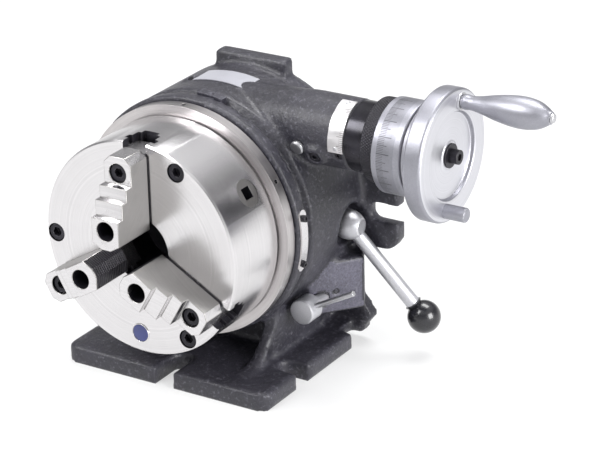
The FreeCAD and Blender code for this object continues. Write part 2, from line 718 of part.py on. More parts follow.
# Chuck body: jaw slots with side grooves, scroll room, pinion bores, screw counterbores.
PLATE_SEAT = CHUCK_BACK - d.back_plate_thick
chuck_blank = turned("chuck_blank", [
    (CHUCK_FACE, d.chuck_bore), (CHUCK_FACE, d.chuck_rad - d.chuck_cham),
    (CHUCK_FACE + d.chuck_cham, d.chuck_rad), (CHUCK_BACK - d.chuck_cham, d.chuck_rad),
    (CHUCK_BACK, d.chuck_rad - d.chuck_cham), (CHUCK_BACK, d.scroll_room),
    (CHUCK_FACE + d.jaw_floor, d.scroll_room), (CHUCK_FACE + d.jaw_floor, d.scroll_hub),
    (PLATE_SEAT, d.scroll_hub), (PLATE_SEAT, d.chuck_bore),
], (0, 0, d.axis_high))
JAW_ANGLES = [d.jaw_angle + 120 * k for k in range(3)]
at_face = (0, CHUCK_FACE, d.axis_high)


def spoke_block(name, start, end, wide, low, high, angle):
    """Box along a spoke of the chuck face, between two depths."""
    thing = block(name, (end - start, wide, high - low), at_face, spoke(angle))
    a = size(angle)
    bind(thing, "Placement.Base.x", start * cosd(a) + wide / 2 * sind(a))
    bind(thing, "Placement.Base.y", CHUCK_FACE - low)
    bind(thing, "Placement.Base.z", d.axis_high + start * sind(a) - wide / 2 * cosd(a))
    return thing


chuck_cuts = []
for k, angle in enumerate(JAW_ANGLES, start=1):
    outside = d.chuck_rad + 1
    chuck_cuts.append(spoke_block(f"slot_{k}", size(18), outside, d.slot_neck, -d.jaw_floor - 0.1, size(1),
                                  angle))
    chuck_cuts.append(spoke_block(f"tee_{k}", size(18), outside, d.slot_tee, -d.tee_top - d.tee_deep,
                                  -d.tee_top, angle))
    chuck_cuts.append(spoke_block(f"tooth_way_{k}", d.scroll_room - 4, outside, d.tooth_wide + 2,
                                  -d.scroll_front, -d.jaw_floor, angle))
for k, angle in enumerate(SCREW_ANGLES, start=1):
    bore_at = off_spindle(d.chuck_screw_circle, angle, CHUCK_FACE - 1)
    chuck_cuts.append(rod(f"chuck_bore_{k}", d.head_rad + d.head_clear, d.bore_deep + 1, bore_at, "Y"))
    chuck_cuts.append(rod(f"chuck_hole_{k}", d.screw_rad + d.shank_clear, d.chuck_deep + 2, bore_at, "Y"))
PIN_RAD = 2.9
PIN_SIDE = d.pinion_head + 0.2
PIN_SPOKE = 92
pins = []
for k, angle in enumerate(PINION_ANGLES, start=1):
    hole_at = off_spindle(d.scroll_room - 3, angle, CHUCK_FACE + d.pinion_deep)
    chuck_cuts.append(rod(f"pinion_bore_{k}", d.pinion_head + d.run_clear, 30, hole_at,
                          turn=spoke(angle) * FreeCAD.Rotation(V(0, 1, 0), 90)))
    pin_at = (PIN_SPOKE * cosd(angle) + PIN_SIDE * sind(angle), CHUCK_FACE + d.pinion_deep - 8,
              d.axis_high + PIN_SPOKE * sind(angle) - PIN_SIDE * cosd(angle))
    chuck_cuts.append(rod(f"pin_hole_{k}", PIN_RAD, d.chuck_deep - d.pinion_deep + 9, pin_at, "Y"))
    pins.append(rod(f"pinion_pin_{k}", PIN_RAD, d.chuck_deep - d.pinion_deep + 7.5, pin_at, "Y"))
piece("pinion_pins", join("pinion_pins", pins))

# Back plate of the chuck with three countersunk screws; it closes the scroll room.
plate_blank = turned("back_plate_blank", [
    (PLATE_SEAT, d.chuck_bore), (PLATE_SEAT, d.scroll_room), (CHUCK_BACK, d.scroll_room),
    (CHUCK_BACK, d.register_rad + d.run_clear),
    (CHUCK_BACK - d.register_len - 0.5, d.register_rad + d.run_clear),
    (CHUCK_BACK - d.register_len - 0.5, d.chuck_bore),
], (0, 0, d.axis_high))
plate_screws = []
plate_cuts = []
for k in range(3):
    angle = d.pinion_angle + 120 * k
    tip = PLATE_SEAT + 3
    thread_at = off_spindle(d.scroll_room, angle - 30, tip)
    head = rod(f"back_screw_head_{k + 1}", 3, CHUCK_BACK - 1 - tip, thread_at, "Y")
    plate_cuts.append(head)
    chuck_cuts.append(rod(f"back_screw_way_{k + 1}", 3, CHUCK_BACK - tip + 1, thread_at, "Y"))
    plate_screws.append(rod(f"back_screw_{k + 1}", 3, CHUCK_BACK - 1 - tip, thread_at, "Y"))
    relief_at = off_spindle(d.scroll_room - 15.5, angle, CHUCK_FACE + d.pinion_deep)
    plate_cuts.append(rod(f"pinion_relief_{k + 1}", d.pinion_head + 0.5, 20, relief_at,
                          turn=spoke(angle) * FreeCAD.Rotation(V(0, 1, 0), 90)))
piece("chuck_back_plate", carve("chuck_back_plate", plate_blank, plate_cuts))
piece("back_plate_screws", join("back_plate_screws", plate_screws))
piece("chuck_body", carve("chuck_body", chuck_blank, chuck_cuts))


def cap_screw(name, at, shank, turn, along="Y"):
    """Socket head screw: head below its seat point, shank beyond it, hexagon socket in the head."""
    stations = [(-d.head_high, 0), (-d.head_high, d.head_rad), (0, d.head_rad), (0, d.screw_rad),
                (shank, d.screw_rad), (shank, 0)]
    blank = turned(name + "_blank", stations, at, along, turn)
    socket = fresh("Part::Prism", name + "_socket")
    socket.Polygon = 6
    bind(socket, "Circumradius", d.screw_rad * 0.92)
    bind(socket, "Height", d.head_high * 0.6)
    return blank, socket


chuck_screws = []
for k, angle in enumerate(SCREW_ANGLES, start=1):
    seat_at = off_spindle(d.chuck_screw_circle, angle, HEAD_SEAT)
    blank, socket = cap_screw(f"chuck_screw_{k}", seat_at, CHUCK_SCREW_TIP - HEAD_SEAT, None)
    put(socket, off_spindle(d.chuck_screw_circle, angle, HEAD_SEAT - d.head_high), TURNS["Y"])
    chuck_screws.append(carve(f"chuck_screw_{k}", blank, [socket]))
piece("chuck_screws", join("chuck_screws", chuck_screws))


# Jaws: master jaw with side tongues and scroll teeth, stepped top jaw, two cap screws.
def tooth_radii(angle):
    """Radii where the jaw's teeth stand in the gaps of the scroll."""
    pitch = d.scroll_pitch.value
    first = d.scroll_zero.value + pitch * ((size(angle).value % 360) / 360 + 0.5)
    lowest = d.scroll_hub.value + d.tooth_thick.value / 2 + 10.5
    return [first + pitch * k for k in range(-3, 6)
            if lowest < first + pitch * k < d.scroll_rad.value - d.tooth_thick.value / 2]


def spoke_rod(name, radius, at_radius, low, high, angle):
    """Cylinder parallel to the chuck axis on a spoke, between two heights over the face."""
    return rod(name, radius, high - low, off_spindle(at_radius, angle, CHUCK_FACE - low), "-Y")


def make_jaw(number, angle):
    mark = f"_{number}"
    neck = d.slot_neck - d.slide_clear
    tee = d.slot_tee - d.slide_clear
    body = spoke_block("master_bar" + mark, d.master_in, d.master_out, neck, -d.jaw_floor + 0.2, d.master_up,
                       angle)
    tongue = spoke_block("master_tongue" + mark, d.master_in, d.master_out, tee,
                         -d.tee_top - d.tee_deep + d.slide_clear / 2, -d.tee_top - d.slide_clear / 2, angle)
    teeth = []
    for i, radius in enumerate(tooth_radii(angle)):
        start = Size(radius, f"({radius:.6f})") - d.tooth_thick / 2
        teeth.append(spoke_block(f"master_tooth{mark}_{i + 1}", start, start + d.tooth_thick, d.tooth_wide,
                                 -d.scroll_front + 0.4, -d.jaw_floor + 0.5, angle))
    holes = []
    screws = []
    bores = []
    for i, radius in enumerate((d.jaw_screw_out, d.jaw_screw_in)):
        tip = size(-9)
        top = d.step_one if i == 0 else d.step_four
        holes.append(spoke_rod(f"master_tapping{mark}_{i}", d.screw_rad, radius, tip, d.master_up + 1, angle))
        bores.append(spoke_rod(f"jaw_hole{mark}_{i}", d.screw_rad + d.shank_clear, radius, size(0), top + 1,
                               angle))
        bores.append(spoke_rod(f"jaw_bore{mark}_{i}", d.head_rad + d.head_clear, radius, d.jaw_seat, top + 1,
                               angle))
        blank, socket = cap_screw(f"jaw_screw{mark}_{i}", off_spindle(radius, angle, CHUCK_FACE - d.jaw_seat),
                                  d.jaw_seat - tip, None)
        put(socket, off_spindle(radius, angle, CHUCK_FACE - d.jaw_seat - d.head_high), TURNS["Y"])
        screws.append(carve(f"jaw_screw{mark}_{i}_cut", blank, [socket]))
    piece("master_jaw" + mark, carve("master_jaw" + mark,
                                     join("master_whole" + mark, [body, tongue] + teeth), holes))
    half = d.jaw_wide / 2
    wedge = d.jaw_tip + (half - d.tip_half) / 1.7320508
    plan, _ = slab("jaw_plan" + mark, [
        (d.jaw_tip, -d.tip_half), (wedge, -half), (d.jaw_end - d.jaw_end_cut, -half),
        (d.jaw_end, -half + d.jaw_end_cut), (d.jaw_end, half - d.jaw_end_cut),
        (d.jaw_end - d.jaw_end_cut, half), (wedge, half), (d.jaw_tip, d.tip_half),
    ], d.step_four, at_face, spoke(angle))
    side, _ = slab("jaw_side" + mark, [
        (d.jaw_tip - 1, d.master_up), (d.jaw_end + 1, d.master_up), (d.jaw_end + 1, d.step_one),
        (d.riser_one, d.step_one), (d.riser_one, d.step_two), (d.riser_two, d.step_two),
        (d.riser_two, d.step_three), (d.riser_three, d.step_three), (d.riser_three, d.step_four),
        (d.jaw_tip - 1, d.step_four),
    ], d.jaw_wide, at_face, spoke(angle) * FreeCAD.Rotation(V(1, 0, 0), 90))
    bind(side, "Placement.Base.x", -half * sind(angle))
    bind(side, "Placement.Base.z", d.axis_high + half * cosd(angle))
    piece("top_jaw" + mark, carve("top_jaw" + mark, meet("jaw_form" + mark, plan, side), bores))
    piece("jaw_screws" + mark, join("jaw_screws" + mark, screws))


for k, angle in enumerate(JAW_ANGLES, start=1):
    make_jaw(k, angle)

# Bushes and rear cover.
piece("front_bush", turned("front_bush", [
    (HOUSE_FRONT, d.front_journal + d.run_clear), (HOUSE_FRONT, FRONT_BUSH_RAD),
    (-d.hub_end, FRONT_BUSH_RAD), (-d.hub_end, d.front_journal + d.run_clear),
], (0, 0, d.axis_high)))
piece("rear_bush", turned("rear_bush", [
    (COVER_HUB_START + 0.2, d.rear_journal + d.run_clear), (COVER_HUB_START + 0.2, REAR_BUSH_RAD),
    (TAIL_SEAT, REAR_BUSH_RAD), (TAIL_SEAT, d.rear_journal + d.run_clear),
], (0, 0, d.axis_high)))
cover_blank = turned("rear_cover_blank", [
    (COVER_HUB_START + 0.2, REAR_BUSH_RAD), (COVER_HUB_START + 0.2, d.cover_hub),
    (COVER_SEAT, d.cover_hub), (COVER_SEAT, d.cover_rad), (COVER_BACK, d.cover_rad),
    (COVER_BACK, d.tail_thread + d.tail_rim + 1.5), (TAIL_SEAT - 0.3, d.tail_thread + d.tail_rim + 1.5),
    (TAIL_SEAT - 0.3, REAR_BUSH_RAD),
], (0, 0, d.axis_high))
cover_cuts = []
cover_screws = []
house_cuts = []
for k in range(6):
    at = off_spindle(d.cover_screw_circle, 30 + 60 * k, COVER_BACK - 0.5)
    shape = [(0, 0), (0, 5), (-6, 5), (-6, 3), (-24, 3), (-24, 0)]
    cover_screws.append(turned(f"cover_screw_{k + 1}", shape, at))
    cover_cuts.append(rod(f"cover_bore_{k + 1}", 5, 7, off_spindle(d.cover_screw_circle, 30 + 60 * k,
                                                                 COVER_BACK - 6.5), "Y"))
    hole_at = off_spindle(d.cover_screw_circle, 30 + 60 * k, COVER_BACK - 24.5)
    cover_cuts.append(rod(f"cover_hole_{k + 1}", 3, 25, hole_at, "Y"))
    house_cuts.append(rod(f"house_tapping_{k + 1}", 3, 25, hole_at, "Y"))
piece("cover_screws", join("cover_screws", cover_screws))
piece("rear_cover", carve("rear_cover", cover_blank, cover_cuts))

# Drop-out sleeve: eccentric bore, window for the wheel, flange and seat of the knurled ring.
sleeve_blank = turned("sleeve_blank", [
    (d.sleeve_start, 0), (d.sleeve_start, d.sleeve_rad), (109, d.sleeve_rad), (109, d.sleeve_rad - 2),
    (116, d.sleeve_rad - 2), (116, d.sleeve_rad), (NECK_START, d.sleeve_rad), (NECK_START, d.neck_rad),
    (NECK_END, d.neck_rad), (NECK_END, d.knurl_seat), (KNURL_END + 0.3, d.knurl_seat), (KNURL_END + 0.3, 0),
], (0, SLEEVE_BACK, WORM_HIGH), "X")
TIP_RAD = WHEEL_PITCH + d.worm_module
window_half = math.sqrt((TIP_RAD.value + 0.8) ** 2 - (WORM_HIGH - d.axis_high - d.sleeve_rad).value ** 2)
window = fresh("Part::Cylinder", "sleeve_window")
bind(window, "Radius", d.sleeve_rad + 3)
bind(window, "Height", window_half * 2)
bind(window, "Angle", d.drop_angle + 84)
put(window, (-window_half, SLEEVE_BACK, WORM_HIGH),
    FreeCAD.Rotation(V(1, 0, 0), 212) * FreeCAD.Rotation(V(1, 1, 1), 120))
sleeve_bore = rod("sleeve_hole", d.sleeve_bore, KNURL_END - d.sleeve_start + 2,
                  (d.sleeve_start - 1, 0, WORM_HIGH), "X")
piece("sleeve", carve("sleeve", sleeve_blank, [window, sleeve_bore]))
piece("knurled_ring", turned("knurled_ring", [
    (KNURL_START, d.knurl_seat), (KNURL_START, d.knurl_rad - 1), (KNURL_START + 1, d.knurl_rad),
    (KNURL_END - 1, d.knurl_rad), (KNURL_END, d.knurl_rad - 1), (KNURL_END, d.knurl_seat),
], (0, SLEEVE_BACK, WORM_HIGH), "X"))
worm_axis = (0, 0, WORM_HIGH)
COLLAR_START = d.worm_half + d.collar_gap
COLLAR_END = COLLAR_START + d.collar_len
bush_bore = d.worm_shaft_rad + d.run_clear
worm_bushes = []
for k, (start, end) in enumerate(((d.sleeve_start, -d.worm_half - d.bush_gap), (COLLAR_END + 0.1, size(60)),
                                  (size(128), NECK_END - 1)), start=1):
    worm_bushes.append(turned(f"worm_bush_{k}", [(start, bush_bore), (start, d.sleeve_bore),
                                                 (end, d.sleeve_bore), (end, bush_bore)], worm_axis, "X"))
piece("worm_bushes", join("worm_bushes", worm_bushes))


# Worm shaft: single start thread, thrust collar, journals, keyed seat and tapped end.
def thread_solid():
    """Helical ridge of the worm between its end planes, phased to a gap of the wheel on top."""
    module, pitch_rad = d.worm_module.value, d.worm_pitch_rad.value
    pitch = math.pi * module
    slope = math.tan(math.radians(20))
    low, high = pitch_rad - 1.25 * module - 0.5, pitch_rad + module
    half = d.worm_half.value - pitch / 4 - (pitch_rad - low) * slope
    helix = Part.makeHelix(pitch, 2 * half, pitch_rad)
    helix.Placement = FreeCAD.Placement(V(-half, 0, 0), FreeCAD.Rotation(V(0, 1, 0), 90))
    foot = helix.Edges[0].valueAt(helix.Edges[0].FirstParameter)
    outward = V(0, foot.y, foot.z).normalize()
    corners = []
    for radius, side in ((low, -1), (high, -1), (high, 1), (low, 1)):
        wide = pitch / 4 - (radius - pitch_rad) * slope - 0.02
        corners.append(V(foot.x + side * wide, 0, 0) + outward * radius)
    pipe = Part.Wire(helix.Edges).makePipeShell([polygon_wire(corners)], True, True)
    phase = math.degrees(math.atan2(outward.y, -outward.z))
    turn_to_gap = phase + 360 * half / pitch
    pipe.rotate(V(0, 0, 0), V(1, 0, 0), -turn_to_gap)
    return pipe


def worm_solid():
    shaft, core = d.worm_shaft_rad.value, d.worm_pitch_rad.value - 1.25 * d.worm_module.value
    half, start = d.worm_half.value, d.sleeve_start.value + 3
    end, seat = (DISH - 0.5).value, (BOSS_START - 1).value
    thin = d.wheel_shaft_rad.value
    stations = [(start, 0), (start, shaft), (-half - 1.2, shaft), (-half - 1.2, core), (COLLAR_START.value, core),
                (COLLAR_START.value, d.worm_collar.value), (COLLAR_END.value, d.worm_collar.value),
                (COLLAR_END.value, shaft), (seat, shaft), (seat, thin), (end, thin), (end, 0)]
    blank = Part.Face(polygon_wire([V(a, r, 0) for a, r in stations])).revolve(V(0, 0, 0), V(1, 0, 0), 360)
    tapping = Part.makeCylinder(4, 20, V(end - 18, 0, 0), V(1, 0, 0))
    keyway = Part.makeBox(14, 5, 5, V(KEY_START.value, -2.5, thin - 2.5))
    return blank.fuse(thread_solid()).cut(tapping.fuse(keyway))


KEY_START = BOSS_START + 2
worm_shaft = shaped("worm_shaft", worm_solid())
put(worm_shaft, worm_axis)

# Dial on the handwheel hub.
piece("dial", turned("dial", [
    (DIAL_START, d.dial_rad - d.dial_wall), (DIAL_START, d.dial_rad - 1), (DIAL_START + 1, d.dial_rad),
    (DIAL_END - 1, d.dial_rad), (DIAL_END, d.dial_rad - 1), (DIAL_END, d.dial_seat + d.run_clear),
    (DIAL_END - d.dial_web, d.dial_seat + d.run_clear), (DIAL_END - d.dial_web, d.dial_rad - d.dial_wall),
], worm_axis, "X"))

# Handwheel with recessed front, handle axle, stub pin, key, washer and end screw.
SHAFT_STEP = BOSS_START - 1
rim_blank = turned("handwheel_blank", [
    (DIAL_END - d.dial_web - 3, d.worm_shaft_rad), (DIAL_END - d.dial_web - 3, d.dial_seat),
    (BOSS_START, d.dial_seat), (BOSS_START, d.boss_rad), (RIM_START, d.boss_rad),
    (RIM_START, d.rim_rad - d.rim_round), (RIM_START + d.rim_round, d.rim_rad),
    (RIM_END - d.rim_round, d.rim_rad), (RIM_END, d.rim_rad - d.rim_round),
    (RIM_END, d.dish_rad), (DISH, d.dish_rad), (DISH, d.wheel_shaft_rad),
    (SHAFT_STEP, d.wheel_shaft_rad), (SHAFT_STEP, d.worm_shaft_rad),
], worm_axis, "X")


def on_wheel(angle, along):
    return (along, d.crank_rad * cosd(angle), WORM_HIGH + d.crank_rad * sind(angle))


OPPOSITE = d.crank_angle + 180
key_spot = (KEY_START, -2.5, WORM_HIGH + d.wheel_shaft_rad - 2.5)
AXLE_IN = RIM_START + 4
piece("handwheel", carve("handwheel", rim_blank, [
    rod("axle_seat", d.axle_rad + 1, d.rim_wide, on_wheel(d.crank_angle, AXLE_IN), "X"),
    rod("stub_seat", d.stub_rad, d.rim_wide, on_wheel(OPPOSITE, AXLE_IN), "X"),
    block("handwheel_keyway", (14, 5, 5), key_spot),
]))
piece("handwheel_key", block("handwheel_key", (14, 5, 5), key_spot))
GRIP_START = RIM_END + 2.5
GRIP_END = GRIP_START + d.grip_len
piece("handle_axle", turned("handle_axle", [
    (AXLE_IN, 0), (AXLE_IN, d.axle_rad + 1), (RIM_END, d.axle_rad + 1), (RIM_END, d.axle_rad + 4),
    (GRIP_START - 0.3, d.axle_rad + 4), (GRIP_START - 0.3, d.axle_rad), (GRIP_END + 0.3, d.axle_rad),
    (GRIP_END + 0.3, d.axle_rad + 0.6), (GRIP_END + 2.6, d.axle_rad - 0.4), (GRIP_END + 3.4, 0),
], on_wheel(d.crank_angle, size(0)), "X"))
piece("stub_pin", turned("stub_pin", [
    (AXLE_IN, 0), (AXLE_IN, d.stub_rad), (RIM_END + d.stub_out - 1, d.stub_rad),
    (RIM_END + d.stub_out, d.stub_rad - 1), (RIM_END + d.stub_out, 0),
], on_wheel(OPPOSITE, size(0)), "X"))
grip_bore = d.axle_rad + d.run_clear
grip = [(GRIP_START, grip_bore), (GRIP_START, size(6.8)), (GRIP_START + 8, size(6.2))]
for share, bulge in ((0.2, 0.52), (0.36, 0.75), (0.52, 0.93), (0.66, 1), (0.78, 0.96), (0.88, 0.82),
                     (0.95, 0.64), (1, 0.42)):
    grip.append((GRIP_START + d.grip_len * share, d.grip_rad * bulge))
grip.append((GRIP_END, grip_bore))
piece("handle_grip", turned("handle_grip", grip, on_wheel(d.crank_angle, size(0)), "X"))
piece("wheel_washer", turned("wheel_washer", [
    (DISH, 4.2), (DISH, 11), (DISH + 2.5, 11), (DISH + 2.5, 4.2)], worm_axis, "X"))
end_blank = turned("end_screw_blank", [
    (DISH - 16, 0), (DISH - 16, 4), (DISH + 2.5, 4), (DISH + 2.5, 6.5), (DISH + 10.5, 6.5), (DISH + 10.5, 0),
], worm_axis, "X")
end_socket = fresh("Part::Prism", "end_screw_socket")
end_socket.Polygon = 6
end_socket.Circumradius = 3.5
end_socket.Height = 6
put(end_socket, (DISH + 5.5, 0, WORM_HIGH), TURNS["X"])
piece("wheel_screw", carve("wheel_screw", end_blank, [end_socket]))

# Clamp lever: hub, leaning arm and ball knob on the clamp bolt, which presses the brake shoe.
clamp_at = (0, d.clamp_back, CLAMP_HIGH)
HUB_END = d.clamp_floor + 0.3 + d.lever_hub_len
arm_way = V(cosd(d.arm_lean).value, (sind(d.arm_lean) * sind(d.arm_swing)).value,
            -(sind(d.arm_lean) * cosd(d.arm_swing)).value)
arm_turn = FreeCAD.Rotation(V(1, 0, 0), arm_way)
hub_start = d.clamp_floor + 0.3
hub = turned("lever_hub", [
    (hub_start, 0), (hub_start, d.lever_hub_rad - 5), (hub_start + 3, d.lever_hub_rad - 2),
    (hub_start + 8, d.lever_hub_rad), (hub_start + 14, d.lever_hub_rad),
    (HUB_END - 3, d.lever_hub_rad - 2.5), (HUB_END, d.lever_hub_rad - 4), (HUB_END, 0),
], clamp_at, "X")
ARM_ROOT = hub_start + 11
arm_at = (ARM_ROOT, d.clamp_back, CLAMP_HIGH)
KNOB_NECK = d.arm_len - d.knob_rad - 1
arm = turned("lever_arm", [
    (0, 0), (0, d.arm_rad), (KNOB_NECK, d.arm_rad + 0.5), (KNOB_NECK, 4), (d.arm_len - 4, 4),
    (d.arm_len - 4, 0),
], arm_at, turn=arm_turn)
BOLT_IN = d.clamp_floor - 38
BOLT_OUT = HUB_END - 6
bolt_hole = rod("lever_bolt_hole", d.bolt_rad, BOLT_OUT - BOLT_IN, (BOLT_IN, d.clamp_back, CLAMP_HIGH), "X")
piece("clamp_lever", carve("clamp_lever", join("lever_whole", [hub, arm]), [bolt_hole]))
piece("clamp_bolt", rod("clamp_bolt", d.bolt_rad, BOLT_OUT - BOLT_IN, (BOLT_IN, d.clamp_back, CLAMP_HIGH),
                        "X"))
ball = fresh("Part::Sphere", "knob_ball")
bind(ball, "Radius", d.knob_rad)
put(ball, [c + d.arm_len * w for c, w in zip(arm_at, arm_way)])
neck = turned("knob_neck", [
    (KNOB_NECK, 0), (KNOB_NECK, d.arm_rad + 2.4), (KNOB_NECK + 5, d.arm_rad + 1.4), (KNOB_NECK + 5, 0),
], arm_at, turn=arm_turn)
knob_hole = turned("knob_hole", [
    (KNOB_NECK - 1, 0), (KNOB_NECK - 1, 4), (d.arm_len - 4, 4), (d.arm_len - 4, 0)], arm_at, turn=arm_turn)
piece("ball_knob", carve("ball_knob", join("knob_whole", [ball, neck]), [knob_hole]))
shoe = rod("shoe_blank", d.shoe_rad, BOLT_IN - 30, (30, d.clamp_back, CLAMP_HIGH), "X")
land = rod("shoe_hollow", d.brake_land + d.run_clear, 40, (0, d.clamp_back - 20, d.axis_high), "Y")
piece("brake_shoe", carve("brake_shoe", shoe, [land]))

# Clamp screw with tommy bar in the front of the clamp block.
BLOCK_FACE = -d.block_front
HEAD_BACK = BLOCK_FACE - d.brake_neck
HEAD_FRONT = HEAD_BACK - d.brake_knob_len
head_blank = turned("clamp_screw_blank", [
    (HEAD_FRONT, 0), (HEAD_FRONT, d.brake_knob_rad - 1), (HEAD_FRONT + 1, d.brake_knob_rad),
    (HEAD_BACK - 1, d.brake_knob_rad), (HEAD_BACK, d.brake_knob_rad - 1), (HEAD_BACK, d.brake_knob_rad - 4),
    (BLOCK_FACE - 0.3, d.brake_knob_rad - 4), (BLOCK_FACE - 0.3, d.bolt_rad),
    (BLOCK_FACE + d.brake_shank, d.bolt_rad), (BLOCK_FACE + d.brake_shank, 0),
], (d.brake_side, 0, d.brake_high))
BAR_BACK = (HEAD_FRONT + HEAD_BACK) / 2
BAR_IN = d.brake_knob_rad + 1.5


def bar(name):
    at = (d.brake_side - BAR_IN * cosd(d.bar_angle), BAR_BACK, d.brake_high - BAR_IN * sind(d.bar_angle))
    return rod(name, d.bar_rad, BAR_IN + d.bar_out, at,
               turn=around(d.bar_angle) * FreeCAD.Rotation(V(0, 1, 0), 90))


piece("clamp_screw", carve("clamp_screw", head_blank, [bar("bar_hole")]))
piece("tommy_bar", bar("tommy_bar"))

# Housing casting: base with bolt slots, pedestal and ribs, drum, worm tube, rear mounting plate.
base, base_pad = slab("base_plate", [
    (-d.base_half, -d.base_front), (d.base_half, -d.base_front), (d.base_half, d.base_rear),
    (-d.base_half, d.base_rear)], d.base_thick, (0, 0, 0))


def upright_front(edge):
    box = edge.BoundBox
    return box.ZLength > 1 and box.YMax < 0


base_round = soften(base, base_pad, d.base_corner, upright_front)
soften(base, base_round, d.edge_round, lambda e: e.BoundBox.ZMin > d.base_thick.value - 0.01)
EAR_LOW = d.ear_high - d.ear_half
EAR_TOP = d.ear_high + d.ear_half
right_side = [(109, d.plate_low), (111, 16), (120, 28), (106, 47), (106, 58), (101, 82), (102, EAR_LOW),
              (d.ear_tip, EAR_LOW), (d.ear_tip, EAR_TOP), (98, EAR_TOP)]
left_side = [(-size(a), b) for a, b in reversed(right_side)]
plate, plate_pad = slab("mount_plate", right_side + left_side, d.plate_thick, (0, HOUSE_BACK, 0), UP_FROM_Y)


def ear_corner(edge):
    box = edge.BoundBox
    return box.ZLength > 1 and abs(abs(box.XMin) - d.ear_tip.value) < 0.01 and box.XLength < 0.01


soften(plate, plate_pad, d.ear_corner, ear_corner)
LUG_ROOT = d.drum_rad - 20
lug, lug_pad = slab("top_lug", [
    (-d.lug_half, LUG_ROOT), (d.lug_half, LUG_ROOT), (d.lug_half, d.lug_high), (-d.lug_half, d.lug_high)],
    d.plate_thick, (0, HOUSE_BACK - d.lug_front, d.axis_high), UP_FROM_Y)
lug_back, _ = slab("top_lug_back", [
    (d.lug_taper - d.lug_half, LUG_ROOT), (d.lug_half - d.lug_taper, LUG_ROOT),
    (d.lug_half - d.lug_taper, d.lug_high - 3), (d.lug_taper - d.lug_half, d.lug_high - 3)],
    d.plate_thick, (0, HOUSE_BACK, d.axis_high), UP_FROM_Y)
soften(lug, lug_pad, d.edge_round, lambda e: e.BoundBox.YMin > d.lug_high.value - 0.01
       and e.BoundBox.ZMax > 0.01)
drum = turned("drum", [
    (HOUSE_FRONT, 0), (HOUSE_FRONT, d.collar_rad), (COLLAR_BACK, d.collar_rad), (COLLAR_BACK, d.groove_rad),
    (DRUM_FRONT, d.groove_rad), (DRUM_FRONT, d.drum_rad), (HOUSE_BACK - d.plate_thick, d.drum_rad),
    (HOUSE_BACK, d.drum_rad - d.drum_taper), (HOUSE_BACK, 0),
], (0, 0, d.axis_high))
tube = turned("worm_tube", [
    (d.sleeve_start - 3, 0), (d.sleeve_start - 3, d.tube_inner - 2), (d.sleeve_start + 8, d.tube_inner),
    (-WHEEL_HALF, d.tube_inner),
    (d.tube_root, d.tube_rad), (d.tube_end, d.tube_rad), (d.tube_end, 0),
], (0, SLEEVE_BACK, WORM_HIGH), "X")
web = block("pedestal", (2 * d.web_half, d.web_front + HOUSE_BACK - d.plate_thick + 2, d.axis_high
                         - d.drum_rad * 0.5 - d.base_thick + 2),
            (-d.web_half, -d.web_front, d.base_thick - 2))
ribs = []
for k, left in enumerate((-d.web_half, d.web_half - d.rib_thick), start=1):
    rib, _ = slab(f"rib_{k}", [
        (-86, d.base_thick - 2), (-86, d.base_thick + 1), (-74, d.base_thick + 3), (-60, d.base_thick + 9),
        (-48, d.base_thick + 20), (-41, d.base_thick + 34), (-38, d.base_thick + 48), (-38, 92),
        (-d.web_front + 2, 92), (-d.web_front + 2, d.base_thick - 2)], d.rib_thick, (left, 0, 0), UP_FROM_X)
    ribs.append(rib)
PAD_WIDE, PAD_DEEP = 33, 44
BLOCK_REAR = HOUSE_BACK - d.plate_thick + 2
clamp_block, _ = slab("clamp_block", [
    (d.web_half - 6, BLOCK_FACE), (d.block_side - PAD_WIDE, BLOCK_FACE), (d.block_side, BLOCK_FACE + PAD_DEEP),
    (d.block_side - 9, BLOCK_REAR), (d.web_half - 6, BLOCK_REAR)], d.block_top - d.block_low,
    (0, 0, d.block_low))
base_step = block("base_step", (2 * d.base_step_half, BLOCK_REAR - d.base_rear + 2,
                                d.base_thick + 3 - d.plate_low),
                  (-d.base_step_half, d.base_rear - 2, d.plate_low))
outside_shape = join("housing_outside", [base, base_step, plate, lug, lug_back, drum, tube, web, clamp_block]
                     + ribs)


def tube_spoke(angle):
    """Local Z points outward from the sleeve axis at an angle from +Y towards +Z."""
    return FreeCAD.Rotation(V(1, 0, 0), size(angle).value - 90)


def off_sleeve(along, radius, angle):
    return (along, SLEEVE_BACK + radius * cosd(angle), WORM_HIGH + radius * sind(angle))


lock_boss = rod("lock_boss", 10, 9, off_sleeve(112.5, d.tube_rad - 5, 206), turn=tube_spoke(206))

